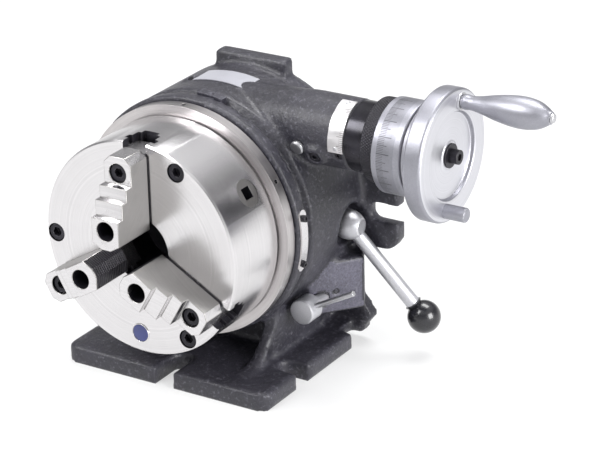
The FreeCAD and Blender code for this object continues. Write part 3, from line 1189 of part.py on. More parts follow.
house_cuts += [
    rod("drum_room", d.cavity_rad, COVER_SEAT - CAVITY_FRONT + 0.01, (0, CAVITY_FRONT, d.axis_high), "Y"),
    rod("cover_room", d.cover_rad, 30, (0, COVER_SEAT, d.axis_high), "Y"),
]
hub_ring = rod("inner_hub", FRONT_BUSH_RAD + d.hub_wall, -d.hub_end - CAVITY_FRONT + 1,
               (0, CAVITY_FRONT - 1, d.axis_high), "Y")
clamp_boss = rod("clamp_boss", d.shoe_rad + 6, d.cavity_rad - d.cover_hub,
                 (d.cover_hub + 2, d.clamp_back, CLAMP_HIGH), "X")
hollow = carve("housing_hollow", outside_shape, house_cuts)
solid_house = join("housing_cast", [hollow, hub_ring, clamp_boss, lock_boss])
last_cuts = [
    rod("front_bush_bore", FRONT_BUSH_RAD, d.front_reach, (0, HOUSE_FRONT - 1, d.axis_high), "Y"),
    rod("sleeve_bore_in_house", d.sleeve_rad + d.run_clear, d.tube_end - d.sleeve_start + 3,
        (d.sleeve_start - 1, SLEEVE_BACK, WORM_HIGH), "X"),
    rod("clamp_spot_face", d.clamp_spot, 40, (d.clamp_floor, d.clamp_back, CLAMP_HIGH), "X"),
    rod("shoe_bore", d.shoe_rad, BOLT_IN - d.brake_land + 2, (d.brake_land - 2, d.clamp_back, CLAMP_HIGH),
        "X"),
    rod("bolt_bore", d.bolt_rad + d.run_clear, 50, (BOLT_IN - 1, d.clamp_back, CLAMP_HIGH), "X"),
    rod("clamp_screw_bore", d.bolt_rad + d.run_clear, d.brake_shank + 3,
        (d.brake_side, BLOCK_FACE - 1, d.brake_high), "Y"),
]
for k, side in enumerate((1, -1), start=1):
    end_mid = d.base_half - d.side_slot_deep + d.slot_wide / 2
    start = end_mid if side > 0 else -d.base_half - 1
    last_cuts.append(block(f"side_slot_{k}", (d.base_half - end_mid + 1, d.slot_wide, d.base_thick + 6),
                           (start, -d.side_slot_back - d.slot_wide / 2, -1)))
    last_cuts.append(rod(f"side_slot_end_{k}", d.slot_wide / 2, d.base_thick + 6,
                         (side * end_mid, -d.side_slot_back, -1)))
    last_cuts.append(rod(f"side_spot_{k}", d.spot_rad, 30, (side * end_mid, -d.side_slot_back, d.base_thick)))
    ear_mid = d.ear_tip - d.ear_slot_deep + d.ear_slot / 2
    start = ear_mid if side > 0 else -d.ear_tip - 1
    last_cuts.append(block(f"ear_slot_{k}", (d.ear_tip - ear_mid + 1, d.plate_thick + 2, d.ear_slot),
                           (start, HOUSE_BACK - d.plate_thick - 1, d.ear_high - d.ear_slot / 2)))
    last_cuts.append(rod(f"ear_slot_end_{k}", d.ear_slot / 2, d.plate_thick + 2,
                         (side * ear_mid, HOUSE_BACK - d.plate_thick - 1, d.ear_high), "Y"))
front_mid = -d.base_front + d.front_slot_deep - d.slot_wide / 2
last_cuts.append(block("front_slot", (d.slot_wide, d.front_slot_deep - d.slot_wide / 2 + 1, d.base_thick + 2),
                       (-d.slot_wide / 2, -d.base_front - 1, -1)))
last_cuts.append(rod("front_slot_end", d.slot_wide / 2, d.base_thick + 2, (0, front_mid, -1)))
for k, left in enumerate((-d.sole_pocket_half, d.sole_rib / 2), start=1):
    pocket = (d.sole_pocket_half - d.sole_rib / 2, d.sole_pocket_deep, d.sole_pocket_high + 1)
    last_cuts.append(block(f"sole_pocket_{k}", pocket, (left, -d.sole_pocket_front, -1)))

# Small pieces screwed to the housing.
lock_tip = d.sleeve_rad - 1.7
lock_screw = turned("sleeve_lock_screw", [
    (lock_tip, 0), (lock_tip, 2.6), (d.sleeve_rad + 0.8, 2.6), (d.sleeve_rad + 0.8, 5),
    (d.tube_rad + 3.4, 5), (d.tube_rad + 3.4, 2.2), (d.tube_rad - 0.6, 2.2), (d.tube_rad - 0.6, 0),
], off_sleeve(112.5, size(0), 206), turn=tube_spoke(206) * FreeCAD.Rotation(V(0, 1, 0), -90))
last_cuts.append(rod("lock_screw_hole", 5, 24, off_sleeve(112.5, d.sleeve_rad + 0.8, 206),
                     turn=tube_spoke(206)))
last_cuts.append(rod("lock_tip_hole", 2.6, 4, off_sleeve(112.5, d.sleeve_rad - 2.5, 206),
                     turn=tube_spoke(206)))
piece("sleeve_lock_screw", lock_screw)
oil_plug = turned("oil_plug", [
    (d.tube_rad - 7, 0), (d.tube_rad - 7, 4), (d.tube_rad - 0.3, 4), (d.tube_rad - 0.3, 6.5),
    (d.tube_rad + 2.2, 6.5), (d.tube_rad + 3.4, 5), (d.tube_rad + 3.4, 0),
], off_sleeve(95.5, size(0), 196), turn=tube_spoke(196) * FreeCAD.Rotation(V(0, 1, 0), -90))
last_cuts.append(rod("oil_hole", 4, 8, off_sleeve(95.5, d.tube_rad - 7, 196), turn=tube_spoke(196)))
last_cuts.append(rod("oil_seat", 6.8, 4, off_sleeve(95.5, d.tube_rad - 0.3, 196), turn=tube_spoke(196)))
last_cuts.append(rod("oil_way", 1.5, 8, off_sleeve(95.5, d.sleeve_rad - 0.5, 196), turn=tube_spoke(196)))
piece("oil_plug", oil_plug)


# Curved strips on round surfaces: scale plate on the worm tube, zero plate on the collar.
def strip(name, radius, thick, length, angle, start_angle, at, base_turn):
    outer = fresh("Part::Cylinder", name + "_outer")
    inner = fresh("Part::Cylinder", name + "_inner")
    bind(outer, "Radius", radius + thick)
    bind(inner, "Radius", radius)
    for part in (outer, inner):
        bind(part, "Height", length)
        part.Angle = angle
        put(part, at, FreeCAD.Rotation(base_turn, start_angle) * TURN_FOR[base_turn.x > 0.5])
    return carve(name, outer, [inner])


TURN_FOR = {True: FreeCAD.Rotation(V(1, 1, 1), 120), False: FreeCAD.Rotation(V(1, 0, 0), 90)}
PLATE_MID = d.tube_end - 8.5
scale = strip("scale_strip", d.tube_rad, size(1), size(15), 92, 100, (d.tube_end - 16, SLEEVE_BACK, WORM_HIGH),
              V(1, 0, 0))
scale_holes = []
rivets = []
for k, angle in enumerate((107, 185), start=1):
    at = off_sleeve(PLATE_MID, d.tube_rad - 4, angle)
    scale_holes.append(rod(f"rivet_hole_{k}", 1.2, 6, at, turn=tube_spoke(angle)))
    last_cuts.append(rod(f"rivet_way_{k}", 1.2, 6, at, turn=tube_spoke(angle)))
    rivets.append(turned(f"rivet_{k}", [
        (d.tube_rad - 4, 0), (d.tube_rad - 4, 1.2), (d.tube_rad + 1, 1.2), (d.tube_rad + 1, 2.2),
        (d.tube_rad + 1.8, 1.6), (d.tube_rad + 1.8, 0)], off_sleeve(PLATE_MID, size(0), angle),
        turn=tube_spoke(angle) * FreeCAD.Rotation(V(0, 1, 0), -90)))
piece("scale_plate", carve("scale_plate", scale, scale_holes))
piece("scale_rivets", join("scale_rivets", rivets))
ZERO_START = HOUSE_FRONT + 2
zero = strip("zero_strip", d.collar_rad, size(1.6), size(10), 30, -17, (0, ZERO_START + 10, d.axis_high),
             V(0, -1, 0))
zero_cuts = []
zero_screws = []
for k, angle in enumerate((-13, 9), start=1):
    turn = spoke(angle) * FreeCAD.Rotation(V(0, 1, 0), 90)
    at = off_spindle(d.collar_rad - 7, angle, ZERO_START + 5)
    zero_cuts.append(rod(f"zero_hole_{k}", 1.5, 12, at, turn=turn))
    last_cuts.append(rod(f"zero_tapping_{k}", 1.5, 10, at, turn=turn))
    zero_screws.append(turned(f"zero_screw_{k}", [
        (0, 0), (0, 1.5), (8.6, 1.5), (8.6, 3.2), (11.6, 3.2), (11.6, 1.6), (10, 1.6), (10, 0)], at,
        turn=spoke(angle)))
piece("zero_plate", carve("zero_plate", zero, zero_cuts))
piece("zero_screws", join("zero_screws", zero_screws))
stop = strip("stop_strip", d.groove_rad, size(9), d.groove_wide - 0.2, 13, 77,
             (0, DRUM_FRONT - 0.1, d.axis_high), V(0, -1, 0))
stop_at = off_spindle(d.groove_rad - 8, 83, (COLLAR_BACK + DRUM_FRONT) / 2)
stop_turn = spoke(83) * FreeCAD.Rotation(V(0, 1, 0), 90)
piece("stop_block", carve("stop_block", stop, [rod("stop_hole", 1.6, 20, stop_at, turn=stop_turn)]))
last_cuts.append(rod("stop_tapping", 1.6, 12, stop_at, turn=stop_turn))
piece("stop_screw", turned("stop_screw", [
    (0, 0), (0, 1.6), (16.5, 1.6), (16.5, 0)], stop_at, turn=spoke(83)))
pad_normal = V(PAD_DEEP, -PAD_WIDE, 0).normalize()
pad_turn = FreeCAD.Rotation(V(0, 0, 1), pad_normal)
pad_mid = (d.block_side - PAD_WIDE / 2, BLOCK_FACE + PAD_DEEP / 2, d.block_low + 21.7)
set_screws = []
for k, (at, turn, long) in enumerate((
        ((pad_mid[0] - 12 * pad_normal.x, pad_mid[1] - 12 * pad_normal.y, pad_mid[2]), pad_turn, 11.4),
        (off_sleeve(135.5, d.tube_rad - 9, 200), tube_spoke(200), 8.4)), start=1):
    last_cuts.append(rod(f"set_screw_hole_{k}", 3, 20, at, turn=turn))
    grub = rod(f"set_screw_blank_{k}", 3, long, at, turn=turn)
    drive = fresh("Part::Prism", f"set_screw_drive_{k}")
    drive.Polygon = 6
    drive.Circumradius = 1.7
    drive.Height = 3
    way = turn.multVec(V(0, 0, 1)) * (long - 2.8)
    put(drive, [size(c) + w for c, w in zip(at, way)], turn)
    set_screws.append(carve(f"set_screw_{k}", grub, [drive]))
piece("set_screws", join("set_screws", set_screws))
piece("housing", carve("housing", solid_house, last_cuts))

doc.recompute()
os.makedirs("parts", exist_ok=True)
troubled = [o.Name for o in doc.Objects if "Invalid" in o.State or "Error" in o.State]
if troubled:
    raise RuntimeError("failed objects: " + ", ".join(troubled))
for node, thing in made:
    if thing.Shape.isNull() or not thing.Shape.isValid():
        raise RuntimeError("bad shape: " + node)
for node, thing in made:
    thing.Shape.exportStep(f"parts/{node}.step")
    print(node, len(thing.Shape.Solids), round(thing.Shape.Volume, 1))
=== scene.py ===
"""Looks of the dividing head: castings, ground steel, blackened steel, light alloy and small marks.

Metres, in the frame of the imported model: +Z up, +X towards the handwheel, -Y towards the chuck face.
"""
import json
import math

import bmesh
import bpy
import numpy as np
from mathutils import Matrix, Vector

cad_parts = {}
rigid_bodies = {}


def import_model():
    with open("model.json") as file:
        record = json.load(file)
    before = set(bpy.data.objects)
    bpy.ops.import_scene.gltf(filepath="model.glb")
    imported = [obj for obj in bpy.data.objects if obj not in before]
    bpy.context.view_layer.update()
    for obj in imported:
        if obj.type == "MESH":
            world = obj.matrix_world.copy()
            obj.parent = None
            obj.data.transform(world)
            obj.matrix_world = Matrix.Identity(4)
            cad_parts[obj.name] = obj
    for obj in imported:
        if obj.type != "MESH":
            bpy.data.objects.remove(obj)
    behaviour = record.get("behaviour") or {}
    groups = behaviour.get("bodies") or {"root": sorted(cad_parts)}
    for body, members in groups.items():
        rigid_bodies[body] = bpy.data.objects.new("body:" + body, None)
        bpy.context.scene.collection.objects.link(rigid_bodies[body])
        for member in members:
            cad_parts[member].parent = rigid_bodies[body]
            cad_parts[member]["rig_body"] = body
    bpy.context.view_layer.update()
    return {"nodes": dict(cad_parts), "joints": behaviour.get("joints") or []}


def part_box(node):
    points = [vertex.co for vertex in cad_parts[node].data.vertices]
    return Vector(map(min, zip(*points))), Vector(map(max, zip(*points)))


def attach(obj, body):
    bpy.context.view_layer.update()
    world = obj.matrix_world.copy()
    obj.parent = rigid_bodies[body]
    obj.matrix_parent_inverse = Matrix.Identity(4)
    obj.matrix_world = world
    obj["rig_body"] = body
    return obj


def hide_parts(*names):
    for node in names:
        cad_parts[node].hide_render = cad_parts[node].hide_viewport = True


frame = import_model()
joint = {j["name"]: j for j in frame["joints"]}

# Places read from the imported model.
AXIS_Z = joint["spindle_spin"]["pos_m"][2]
WORM_Z = joint["worm_spin"]["pos_m"][2]
SLEEVE_Y = joint["sleeve_drop"]["pos_m"][1]
GRIP_Y, GRIP_Z = joint["grip_spin"]["pos_m"][1:]
CHUCK_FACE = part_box("chuck_body")[0].y
CHUCK_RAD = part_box("chuck_body")[1].x
SPINDLE_AT = np.array((0.0, 0.0, AXIS_Z))

# Axes that a pattern may run round: centre and turn.
SPINDLE = ((0.0, 0.0, AXIS_Z), (math.pi / 2, 0.0, 0.0))
WORM = ((0.0, 0.0, WORM_Z), (0.0, math.pi / 2, 0.0))
SLEEVE = ((0.0, SLEEVE_Y, WORM_Z), (0.0, math.pi / 2, 0.0))
UPRIGHT = ((0.0, 0.0, 0.0), (0.0, 0.0, 0.0))

# Casting: how finely it is remeshed, how it is softened, and where its machined faces lie.
VOXEL = 0.0025
SOFT_ROUNDS = 10
SOFT_OUT = 0.55
SOFT_BACK = -0.46
SOLE_TOP = 0.004
COLLAR_FACE = -0.031
COLLAR_BAND = (0.095, 0.116)
COLLAR_LOW = 0.06
TUBE_END = 0.138
REAR_FACE = 0.066
# Face of the clamp block lightened as painted light: its way, plane, slack and heights.
PAD_WAY = np.array((0.8, -0.6, 0.0))
PAD_PLANE = 0.0716
PAD_SLACK = 0.0012
PAD_HEIGHTS = (0.03, 0.12)

# Turned and moulded parts.
RIM_WIDTH = 0.017
STEP_WIDTH = 0.0117
DIAL_BORE = 0.01603
GRIP_BORE = 0.00403
KNURL_TEETH = 90
KNURL_PITCH = 0.0036
KNURL_DEPTH = 0.0007
KNURL_BORE = 0.028
KNURL_STEPS = 720
HUB_LENGTH = 0.0235
ARM_ROOT = 0.011
ARM_RADIUS = 0.0063
KNOB_RADIUS = 0.0155
# Reach of the painted shade in the pinions' sockets.
SOCKET_RADIUS = 0.0068
SOCKET_DEPTH = 0.03
JAW_TIP_REACH = 0.0225

# Engraved lines: (lines in a turn, length, half width as a share of the step).
DIAL_START = 0.0055
DIAL_BAND = 0.0165
DIAL_LINES = ((180, 0.0065, 0.14), (36, 0.0095, 0.045), (18, 0.0125, 0.03))
SCALE_LINES = ((120, 0.0038, 0.12), (24, 0.0062, 0.03))

# Bare places of the badge and the label.
BADGE_OUT = 0.082
BADGE_TURN = math.radians(268)
LABEL_TURN = (77, 105)
LABEL_WAY = (-0.004, 0.023)
LABEL_LIFT = (0.0002, 0.0009)
DRUM_RADIUS = 0.112

# Camera fitted to the photograph: direction, roll, place and lens.
CAMERA_AT = Vector((1.2114, -1.7903, 1.0439))
CAMERA_TURN = 32.31
CAMERA_RISE = 23.31
CAMERA_ROLL = -1.31
CAMERA_LENS = 153.5

# Lamps: name, place, size, power; and the point that they look at.
LAMPS = (("key", (-0.9, -1.5, 1.9), (1.3, 1.0), 50),
         ("fill", (1.9, -0.3, 0.7), (1.0, 1.0), 42),
         ("top", (0.1, 0.7, 2.1), (1.5, 0.8), 32))
LAMP_AIM = (0.05, 0.0, 0.14)
FLOOR_HALF = 6

# Colours, linear.
ENAMEL = (0.022, 0.021, 0.029)
# Worn enamel on edges; also the colour of the light specks, which are partly worn paint and partly painted
# glints.
ENAMEL_WEAR_AND_GLINT = (0.19, 0.185, 0.22)
STEEL = (0.79, 0.775, 0.785)
RING = (0.60, 0.575, 0.575)
# JAW_SIDE: the pinions' own grey, and the painted darker reflection on the top jaws' sides.
JAW_SIDE = (0.42, 0.41, 0.40)
BLACKENED = (0.018, 0.017, 0.022)
RUBBED_BLACK = (0.22, 0.21, 0.21)
RIDGE_GREY = (0.16, 0.15, 0.16)
SATIN = (0.60, 0.60, 0.62)
LEVER = (0.58, 0.58, 0.61)
ALLOY = (0.35, 0.35, 0.39)
ALLOY_EDGE = (0.9, 0.9, 0.92)
WHEEL_FACE = (0.72, 0.72, 0.76)
COVER_GREY = (0.23, 0.23, 0.24)
DIAL_INK = (0.09, 0.09, 0.10)
SCALE_INK = (0.16, 0.13, 0.13)
LABEL_FILM = (0.40, 0.40, 0.44)
BRONZE = (0.62, 0.42, 0.20)
PLASTIC = (0.012, 0.012, 0.015)
BADGE_BLUE = (0.012, 0.022, 0.14)
PAPER = ((0.86, 0.86, 0.86), (0.88, 0.88, 0.88))
WHITE = (1, 1, 1, 1)


# Node trees.
def add(tree, kind, values=None, **settings):
    """One node, its settings, and its inputs as values or links."""
    made = tree.nodes.new(kind)
    for key, value in settings.items():
        setattr(made, key, value)
    for key, value in (values or {}).items():
        if isinstance(value, bpy.types.NodeSocket):
            tree.links.new(value, made.inputs[key])
        else:
            made.inputs[key].default_value = value
    return made


def calc(tree, operation, a, b=0.0):
    """Output of one Math node."""
    return add(tree, "ShaderNodeMath", {0: a, 1: b}, operation=operation).outputs[0]


def times(tree, a, b):
    """Product of two values."""
    return calc(tree, "MULTIPLY", a, b)


def plus(tree, a, b):
    """Sum of two values."""
    return calc(tree, "ADD", a, b)


def span(tree, value, low, high, to_low=0.0, to_high=1.0):
    """Value moved from one range to another, held at its ends."""
    ranged = add(tree, "ShaderNodeMapRange", {0: value, 1: low, 2: high, 3: to_low, 4: to_high})
    return ranged.outputs[0]


def blend(tree, factor, a, b):
    """Colour between two colours."""
    mix = add(tree, "ShaderNodeMix", data_type="RGBA")
    for socket, value in ((mix.inputs[0], factor), (mix.inputs[6], a), (mix.inputs[7], b)):
        if isinstance(value, bpy.types.NodeSocket):
            tree.links.new(value, socket)
        elif socket == mix.inputs[0]:
            socket.default_value = value
        else:
            socket.default_value = (*value[:3], 1)
    return mix.outputs[2]


def scaled(colour, share):
    """Colour made darker or lighter, with no channel above 1."""
    return [min(1.0, c * share) for c in colour]


def noise(tree, where, scale, detail=3.0, rough=0.55):
    """Cloudy noise in space."""
    made = add(tree, "ShaderNodeTexNoise", {"Vector": where, "Scale": scale, "Detail": detail,
                                            "Roughness": rough})
    return made.outputs["Fac"]


def line_noise(tree, value, detail):
    """Noise along one value."""
    made = add(tree, "ShaderNodeTexNoise", {"W": value, "Scale": 1.0, "Detail": detail},
               noise_dimensions="1D")
    return made.outputs["Fac"]


def bumped(tree, height, strength, distance, normal=None):
    """Normal tipped by a height, over another normal where one is given."""
    values = {"Strength": strength, "Distance": distance, "Height": height}
    if normal is not None:
        values["Normal"] = normal
    return add(tree, "ShaderNodeBump", values).outputs["Normal"]


def new_group(name, inputs, outputs):
    """An empty node group with inputs (name, kind, default) and outputs (name, kind)."""
    group = bpy.data.node_groups.new(name, "ShaderNodeTree")
    for label, kind, value in inputs:
        socket = group.interface.new_socket(label, in_out="INPUT", socket_type="NodeSocket" + kind)
        if value is not None:
            socket.default_value = value
    for label, kind in outputs:
        group.interface.new_socket(label, in_out="OUTPUT", socket_type="NodeSocket" + kind)
    return group, group.nodes.new("NodeGroupInput"), group.nodes.new("NodeGroupOutput")


def put_out(group, out, **values):
    """Link a group's results to its outputs."""
    for label, value in values.items():
        group.links.new(value, out.inputs[label])


def make_edge_wear():
    """Mask of the worn edges: how far the rounded normal leaves the true one, broken by noise."""
    group, given, out = new_group("edge_wear", [("Where", "Vector", None), ("Width", "Float", 0.0008),
                                                ("Amount", "Float", 1.0)], [("Mask", "Float")])
    soft = add(group, "ShaderNodeBevel", {"Radius": given.outputs["Width"]}, samples=4)
    true = add(group, "ShaderNodeNewGeometry")
    dot = add(group, "ShaderNodeVectorMath", {0: soft.outputs[0], 1: true.outputs["Normal"]},
              operation="DOT_PRODUCT")
    edge = span(group, dot.outputs["Value"], 0.995, 0.86)
    broken = span(group, noise(group, given.outputs["Where"], 260.0), 0.35, 0.62, 0.15, 1.0)
    put_out(group, out, Mask=times(group, times(group, edge, broken), given.outputs["Amount"]))
    return group


def make_cast_skin():
    """Sand-cast relief under enamel: grain, lumps and pits, with the slow change of its shade."""
    group, given, out = new_group("cast_skin", [("Where", "Vector", None), ("Relief", "Float", 1.0)],
                                  [("Normal", "Vector"), ("Shade", "Float"), ("Gloss", "Float"),
                                   ("Speck", "Float")])
    where = given.outputs["Where"]
    grain = noise(group, where, 560.0, 4.0, 0.7)
    lumps = noise(group, where, 170.0, 2.0)
    crumbs = noise(group, where, 330.0, 3.0, 0.6)
    slow = noise(group, where, 28.0, 2.0)
    pits = add(group, "ShaderNodeTexVoronoi", {"Vector": where, "Scale": 340.0}, feature="SMOOTH_F1")
    pit = span(group, pits.outputs["Distance"], 0.05, 0.3)
    height = plus(group, times(group, grain, 0.55), times(group, lumps, 1.1))
    height = plus(group, height, times(group, pit, 0.28))
    put_out(group, out,
            Normal=bumped(group, height, given.outputs["Relief"], 0.0007),
            Shade=plus(group, span(group, slow, 0.3, 0.7, 0.0, 0.45),
                       span(group, grain, 0.35, 0.65, 0.0, 0.55)),
            # Speck: light specks on the enamel, partly wear and partly painted glints.
            Speck=span(group, crumbs, 0.56, 0.70),
            Gloss=plus(group, times(group, grain, 0.5), times(group, slow, 0.5)))
    return group


def make_turned_marks():
    """Fine rings left by a tool round the local Z axis: noise along radius plus length."""
    group, given, out = new_group("turned_marks", [("Where", "Vector", None), ("Depth", "Float", 0.4),
                                                   ("Density", "Float", 2600.0)],
                                  [("Normal", "Vector"), ("Streak", "Float"), ("Patch", "Float")])
    where = given.outputs["Where"]
    x, y, z = add(group, "ShaderNodeSeparateXYZ", {0: where}).outputs
    radius = calc(group, "SQRT", plus(group, times(group, x, x), times(group, y, y)))
    ring = plus(group, radius, z)
    fine = line_noise(group, times(group, ring, given.outputs["Density"]), 3.0)
    wide = line_noise(group, times(group, ring, 420.0), 2.0)
    rings = plus(group, times(group, fine, 0.7), times(group, wide, 0.3))
    put_out(group, out, Normal=bumped(group, rings, given.outputs["Depth"], 0.00004), Streak=rings,
            Patch=noise(group, where, 34.0, 4.0))
    return group


def make_smudge():
    """Oil and finger marks: soft patches with small specks."""
    group, given, out = new_group("smudge", [("Where", "Vector", None)], [("Patch", "Float"),
                                                                         ("Speck", "Float")])
    where = given.outputs["Where"]
    put_out(group, out, Patch=span(group, noise(group, where, 45.0, 5.0, 0.6), 0.42, 0.68),
            Speck=span(group, noise(group, where, 900.0, 2.0), 0.66, 0.74))
    return group


EDGE_WEAR = make_edge_wear()
CAST_SKIN = make_cast_skin()
TURNED = make_turned_marks()
SMUDGE = make_smudge()


def use(tree, group, values):
    """Outputs of a node group placed in a tree with its own values."""
    return add(tree, "ShaderNodeGroup", values, node_tree=group).outputs


# Materials.
def new_material(name):
    """Empty material with its tree and its Object coordinates."""
    material = bpy.data.materials.new(name)
    material.use_nodes = True
    tree = material.node_tree
    tree.nodes.clear()
    where = add(tree, "ShaderNodeTexCoord").outputs["Object"]
    return material, tree, where


def finish_material(tree, **sockets):
    """Principled surface with the given inputs."""
    names = {key.replace("_", " "): value for key, value in sockets.items()}
    surface = add(tree, "ShaderNodeBsdfPrincipled", names)
    out = add(tree, "ShaderNodeOutputMaterial")
    tree.links.new(surface.outputs[0], out.inputs[0])


def on_axis(tree, where, axis):
    """Object coordinates turned so that local Z is the given axis and the centre lies on it."""
    centre, turn = axis
    return add(tree, "ShaderNodeMapping", {"Vector": where, "Location": centre, "Rotation": turn},
               vector_type="TEXTURE").outputs[0]


def enamel(name, colour, relief):
    """Dark enamel over a casting, rubbed lighter on its edges, with light specks that are partly worn paint
    and partly painted glints.
    """
    material, tree, where = new_material(name)
    skin = use(tree, CAST_SKIN, {"Where": where, "Relief": relief})
    wear = use(tree, EDGE_WEAR, {"Where": where, "Width": 0.0022, "Amount": 0.75})
    shade = blend(tree, skin["Shade"], scaled(colour, 0.45), scaled(colour, 1.75))
    # Light specks towards the worn colour: worn paint and painted glints of the shiny grain.
    rubbed = blend(tree, times(tree, skin["Speck"], 0.4), shade, ENAMEL_WEAR_AND_GLINT)
    base = blend(tree, wear["Mask"], rubbed, ENAMEL_WEAR_AND_GLINT)
    rough = span(tree, skin["Gloss"], 0.3, 0.7, 0.3, 0.6)
    finish_material(tree, Base_Color=base, Roughness=rough, Normal=skin["Normal"], Coat_Weight=0.12,
                    Coat_Roughness=0.3, Specular_IOR_Level=0.55)
    return material


def machined(name, colour, axis, depth=0.3, rough=0.27, density=2600.0, stain=0.2, patch=0.08):
    """Bare metal with the rings of its turning or grinding, faint stains and bright edges."""
    material, tree, where = new_material(name)
    marks = use(tree, TURNED, {"Where": on_axis(tree, where, axis), "Depth": depth, "Density": density})
    dirt = use(tree, SMUDGE, {"Where": where})
    wear = use(tree, EDGE_WEAR, {"Where": where, "Width": 0.0007, "Amount": 0.6})
    toned = blend(tree, span(tree, marks["Streak"], 0.3, 0.7), scaled(colour, 0.88), scaled(colour, 1.06))
    soiled = blend(tree, times(tree, dirt["Patch"], stain), toned, scaled(colour, 0.62))
    base = blend(tree, wear["Mask"], soiled, scaled(colour, 1.25))
    spread = plus(tree, times(tree, marks["Patch"], patch), times(tree, dirt["Patch"], patch * 0.5))
    finish_material(tree, Base_Color=base, Roughness=plus(tree, spread, rough - patch * 0.6),
                    Metallic=1.0, Normal=marks["Normal"])
    return material


def blackened(name, axis, rough=0.34, pitch=0.0):
    """Oil-blackened steel, rubbed to grey on its edges; a pitch adds gripping ridges across Y, as a
    height of sin(2 pi y / pitch)."""
    material, tree, where = new_material(name)
    marks = use(tree, TURNED, {"Where": on_axis(tree, where, axis), "Depth": 0.35, "Density": 1900.0})
    wear = use(tree, EDGE_WEAR, {"Where": where, "Width": 0.0006, "Amount": 0.8})
    dirt = use(tree, SMUDGE, {"Where": where})
    shade = blend(tree, dirt["Patch"], BLACKENED, scaled(BLACKENED, 1.9))
    base = blend(tree, wear["Mask"], shade, RUBBED_BLACK)
    normal = marks["Normal"]
    if pitch:
        y = add(tree, "ShaderNodeSeparateXYZ", {0: where}).outputs[1]
        wave = calc(tree, "SINE", times(tree, y, 2 * math.pi / pitch))
        base = blend(tree, span(tree, wave, 0.5, 1.0, 0.0, 0.5), base, RIDGE_GREY)
        normal = bumped(tree, wave, 0.9, 0.0005, normal)
    gloss = span(tree, marks["Patch"], 0.3, 0.7, rough - 0.06, rough + 0.12)
    finish_material(tree, Base_Color=base, Roughness=gloss, Metallic=0.55, Normal=normal)
    return material


def blasted(name, colour, axis):
    """Light alloy with a fine blasted skin and faint turning."""
    material, tree, where = new_material(name)
    marks = use(tree, TURNED, {"Where": on_axis(tree, where, axis), "Depth": 0.25, "Density": 1500.0})
    dirt = use(tree, SMUDGE, {"Where": where})
    wear = use(tree, EDGE_WEAR, {"Where": where, "Width": 0.0012, "Amount": 0.7})
    grain = noise(tree, where, 1500.0, 2.0)
    toned = blend(tree, span(tree, grain, 0.3, 0.7), scaled(colour, 0.86), scaled(colour, 1.08))
    soiled = blend(tree, times(tree, dirt["Patch"], 0.3), toned, scaled(colour, 0.66))
    base = blend(tree, wear["Mask"], soiled, ALLOY_EDGE)
    finish_material(tree, Base_Color=base, Roughness=span(tree, marks["Patch"], 0.3, 0.7, 0.36, 0.5),
                    Metallic=0.85, Normal=bumped(tree, grain, 0.35, 0.00012, marks["Normal"]))
    return material


def tick_lines(tree, local, place, rows):
    """Mask of lines engraved round the local Z axis. Each row (count, reach, width) has count lines in
    a turn, out to place = reach; a line lies where the turn is within width of a whole step."""
    turn = calc(tree, "DIVIDE", calc(tree, "ARCTAN2", local[1], local[0]), 2 * math.pi)
    lines = None
    for count, reach, width in rows:
        step = calc(tree, "FRACT", times(tree, turn, float(count)))
        beat = calc(tree, "ABSOLUTE", calc(tree, "SUBTRACT", step, 0.5))
        line = times(tree, calc(tree, "GREATER_THAN", beat, 0.5 - width),
                     calc(tree, "LESS_THAN", place, reach))
        lines = line if lines is None else calc(tree, "MAXIMUM", lines, line)
    return lines


def dial_material():
    """Light alloy with engraved lines in three lengths round the worm axis, in a slightly darker band."""
    material, tree, where = new_material("dial_metal")
    centred = on_axis(tree, where, WORM)
    local = add(tree, "ShaderNodeSeparateXYZ", {0: centred}).outputs
    place = calc(tree, "SUBTRACT", local[2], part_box("dial")[0].x + DIAL_START)
    ahead = calc(tree, "GREATER_THAN", place, 0.0)
    lines = times(tree, tick_lines(tree, local, place, DIAL_LINES), ahead)
    band = times(tree, ahead, calc(tree, "LESS_THAN", place, DIAL_BAND))
    marks = use(tree, TURNED, {"Where": centred, "Depth": 0.25, "Density": 1500.0})
    dirt = use(tree, SMUDGE, {"Where": where})
    grain = noise(tree, where, 1400.0, 2.0)
    cut = calc(tree, "SUBTRACT", times(tree, grain, 0.4), lines)
    toned = blend(tree, span(tree, grain, 0.3, 0.7), scaled(ALLOY, 0.84), scaled(ALLOY, 1.04))
    toned = blend(tree, times(tree, band, 0.5), toned, scaled(ALLOY, 0.72))
    soil = times(tree, times(tree, dirt["Patch"], band), 0.5)
    soiled = blend(tree, soil, toned, scaled(ALLOY, 0.5))
    base = blend(tree, times(tree, lines, 0.8), soiled, DIAL_INK)
    finish_material(tree, Base_Color=base, Roughness=span(tree, marks["Patch"], 0.3, 0.7, 0.36, 0.5),
                    Metallic=0.85, Normal=bumped(tree, cut, 0.5, 0.0001, marks["Normal"]))
    return material


def scale_material():
    """Bright rolled plate with fine engraved ticks along its edge near the neck."""
    material, tree, where = new_material("scale_metal")
    local = add(tree, "ShaderNodeSeparateXYZ", {0: on_axis(tree, where, SLEEVE)}).outputs
    place = calc(tree, "SUBTRACT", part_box("scale_plate")[1].x, local[2])
    lines = tick_lines(tree, local, place, SCALE_LINES)
    tone = noise(tree, where, 90.0, 2.0)
    base = blend(tree, times(tree, lines, 0.75), blend(tree, tone, scaled(STEEL, 0.9), STEEL), SCALE_INK)
    finish_material(tree, Base_Color=base, Roughness=span(tree, tone, 0.3, 0.7, 0.3, 0.4), Metallic=0.9)
    return material


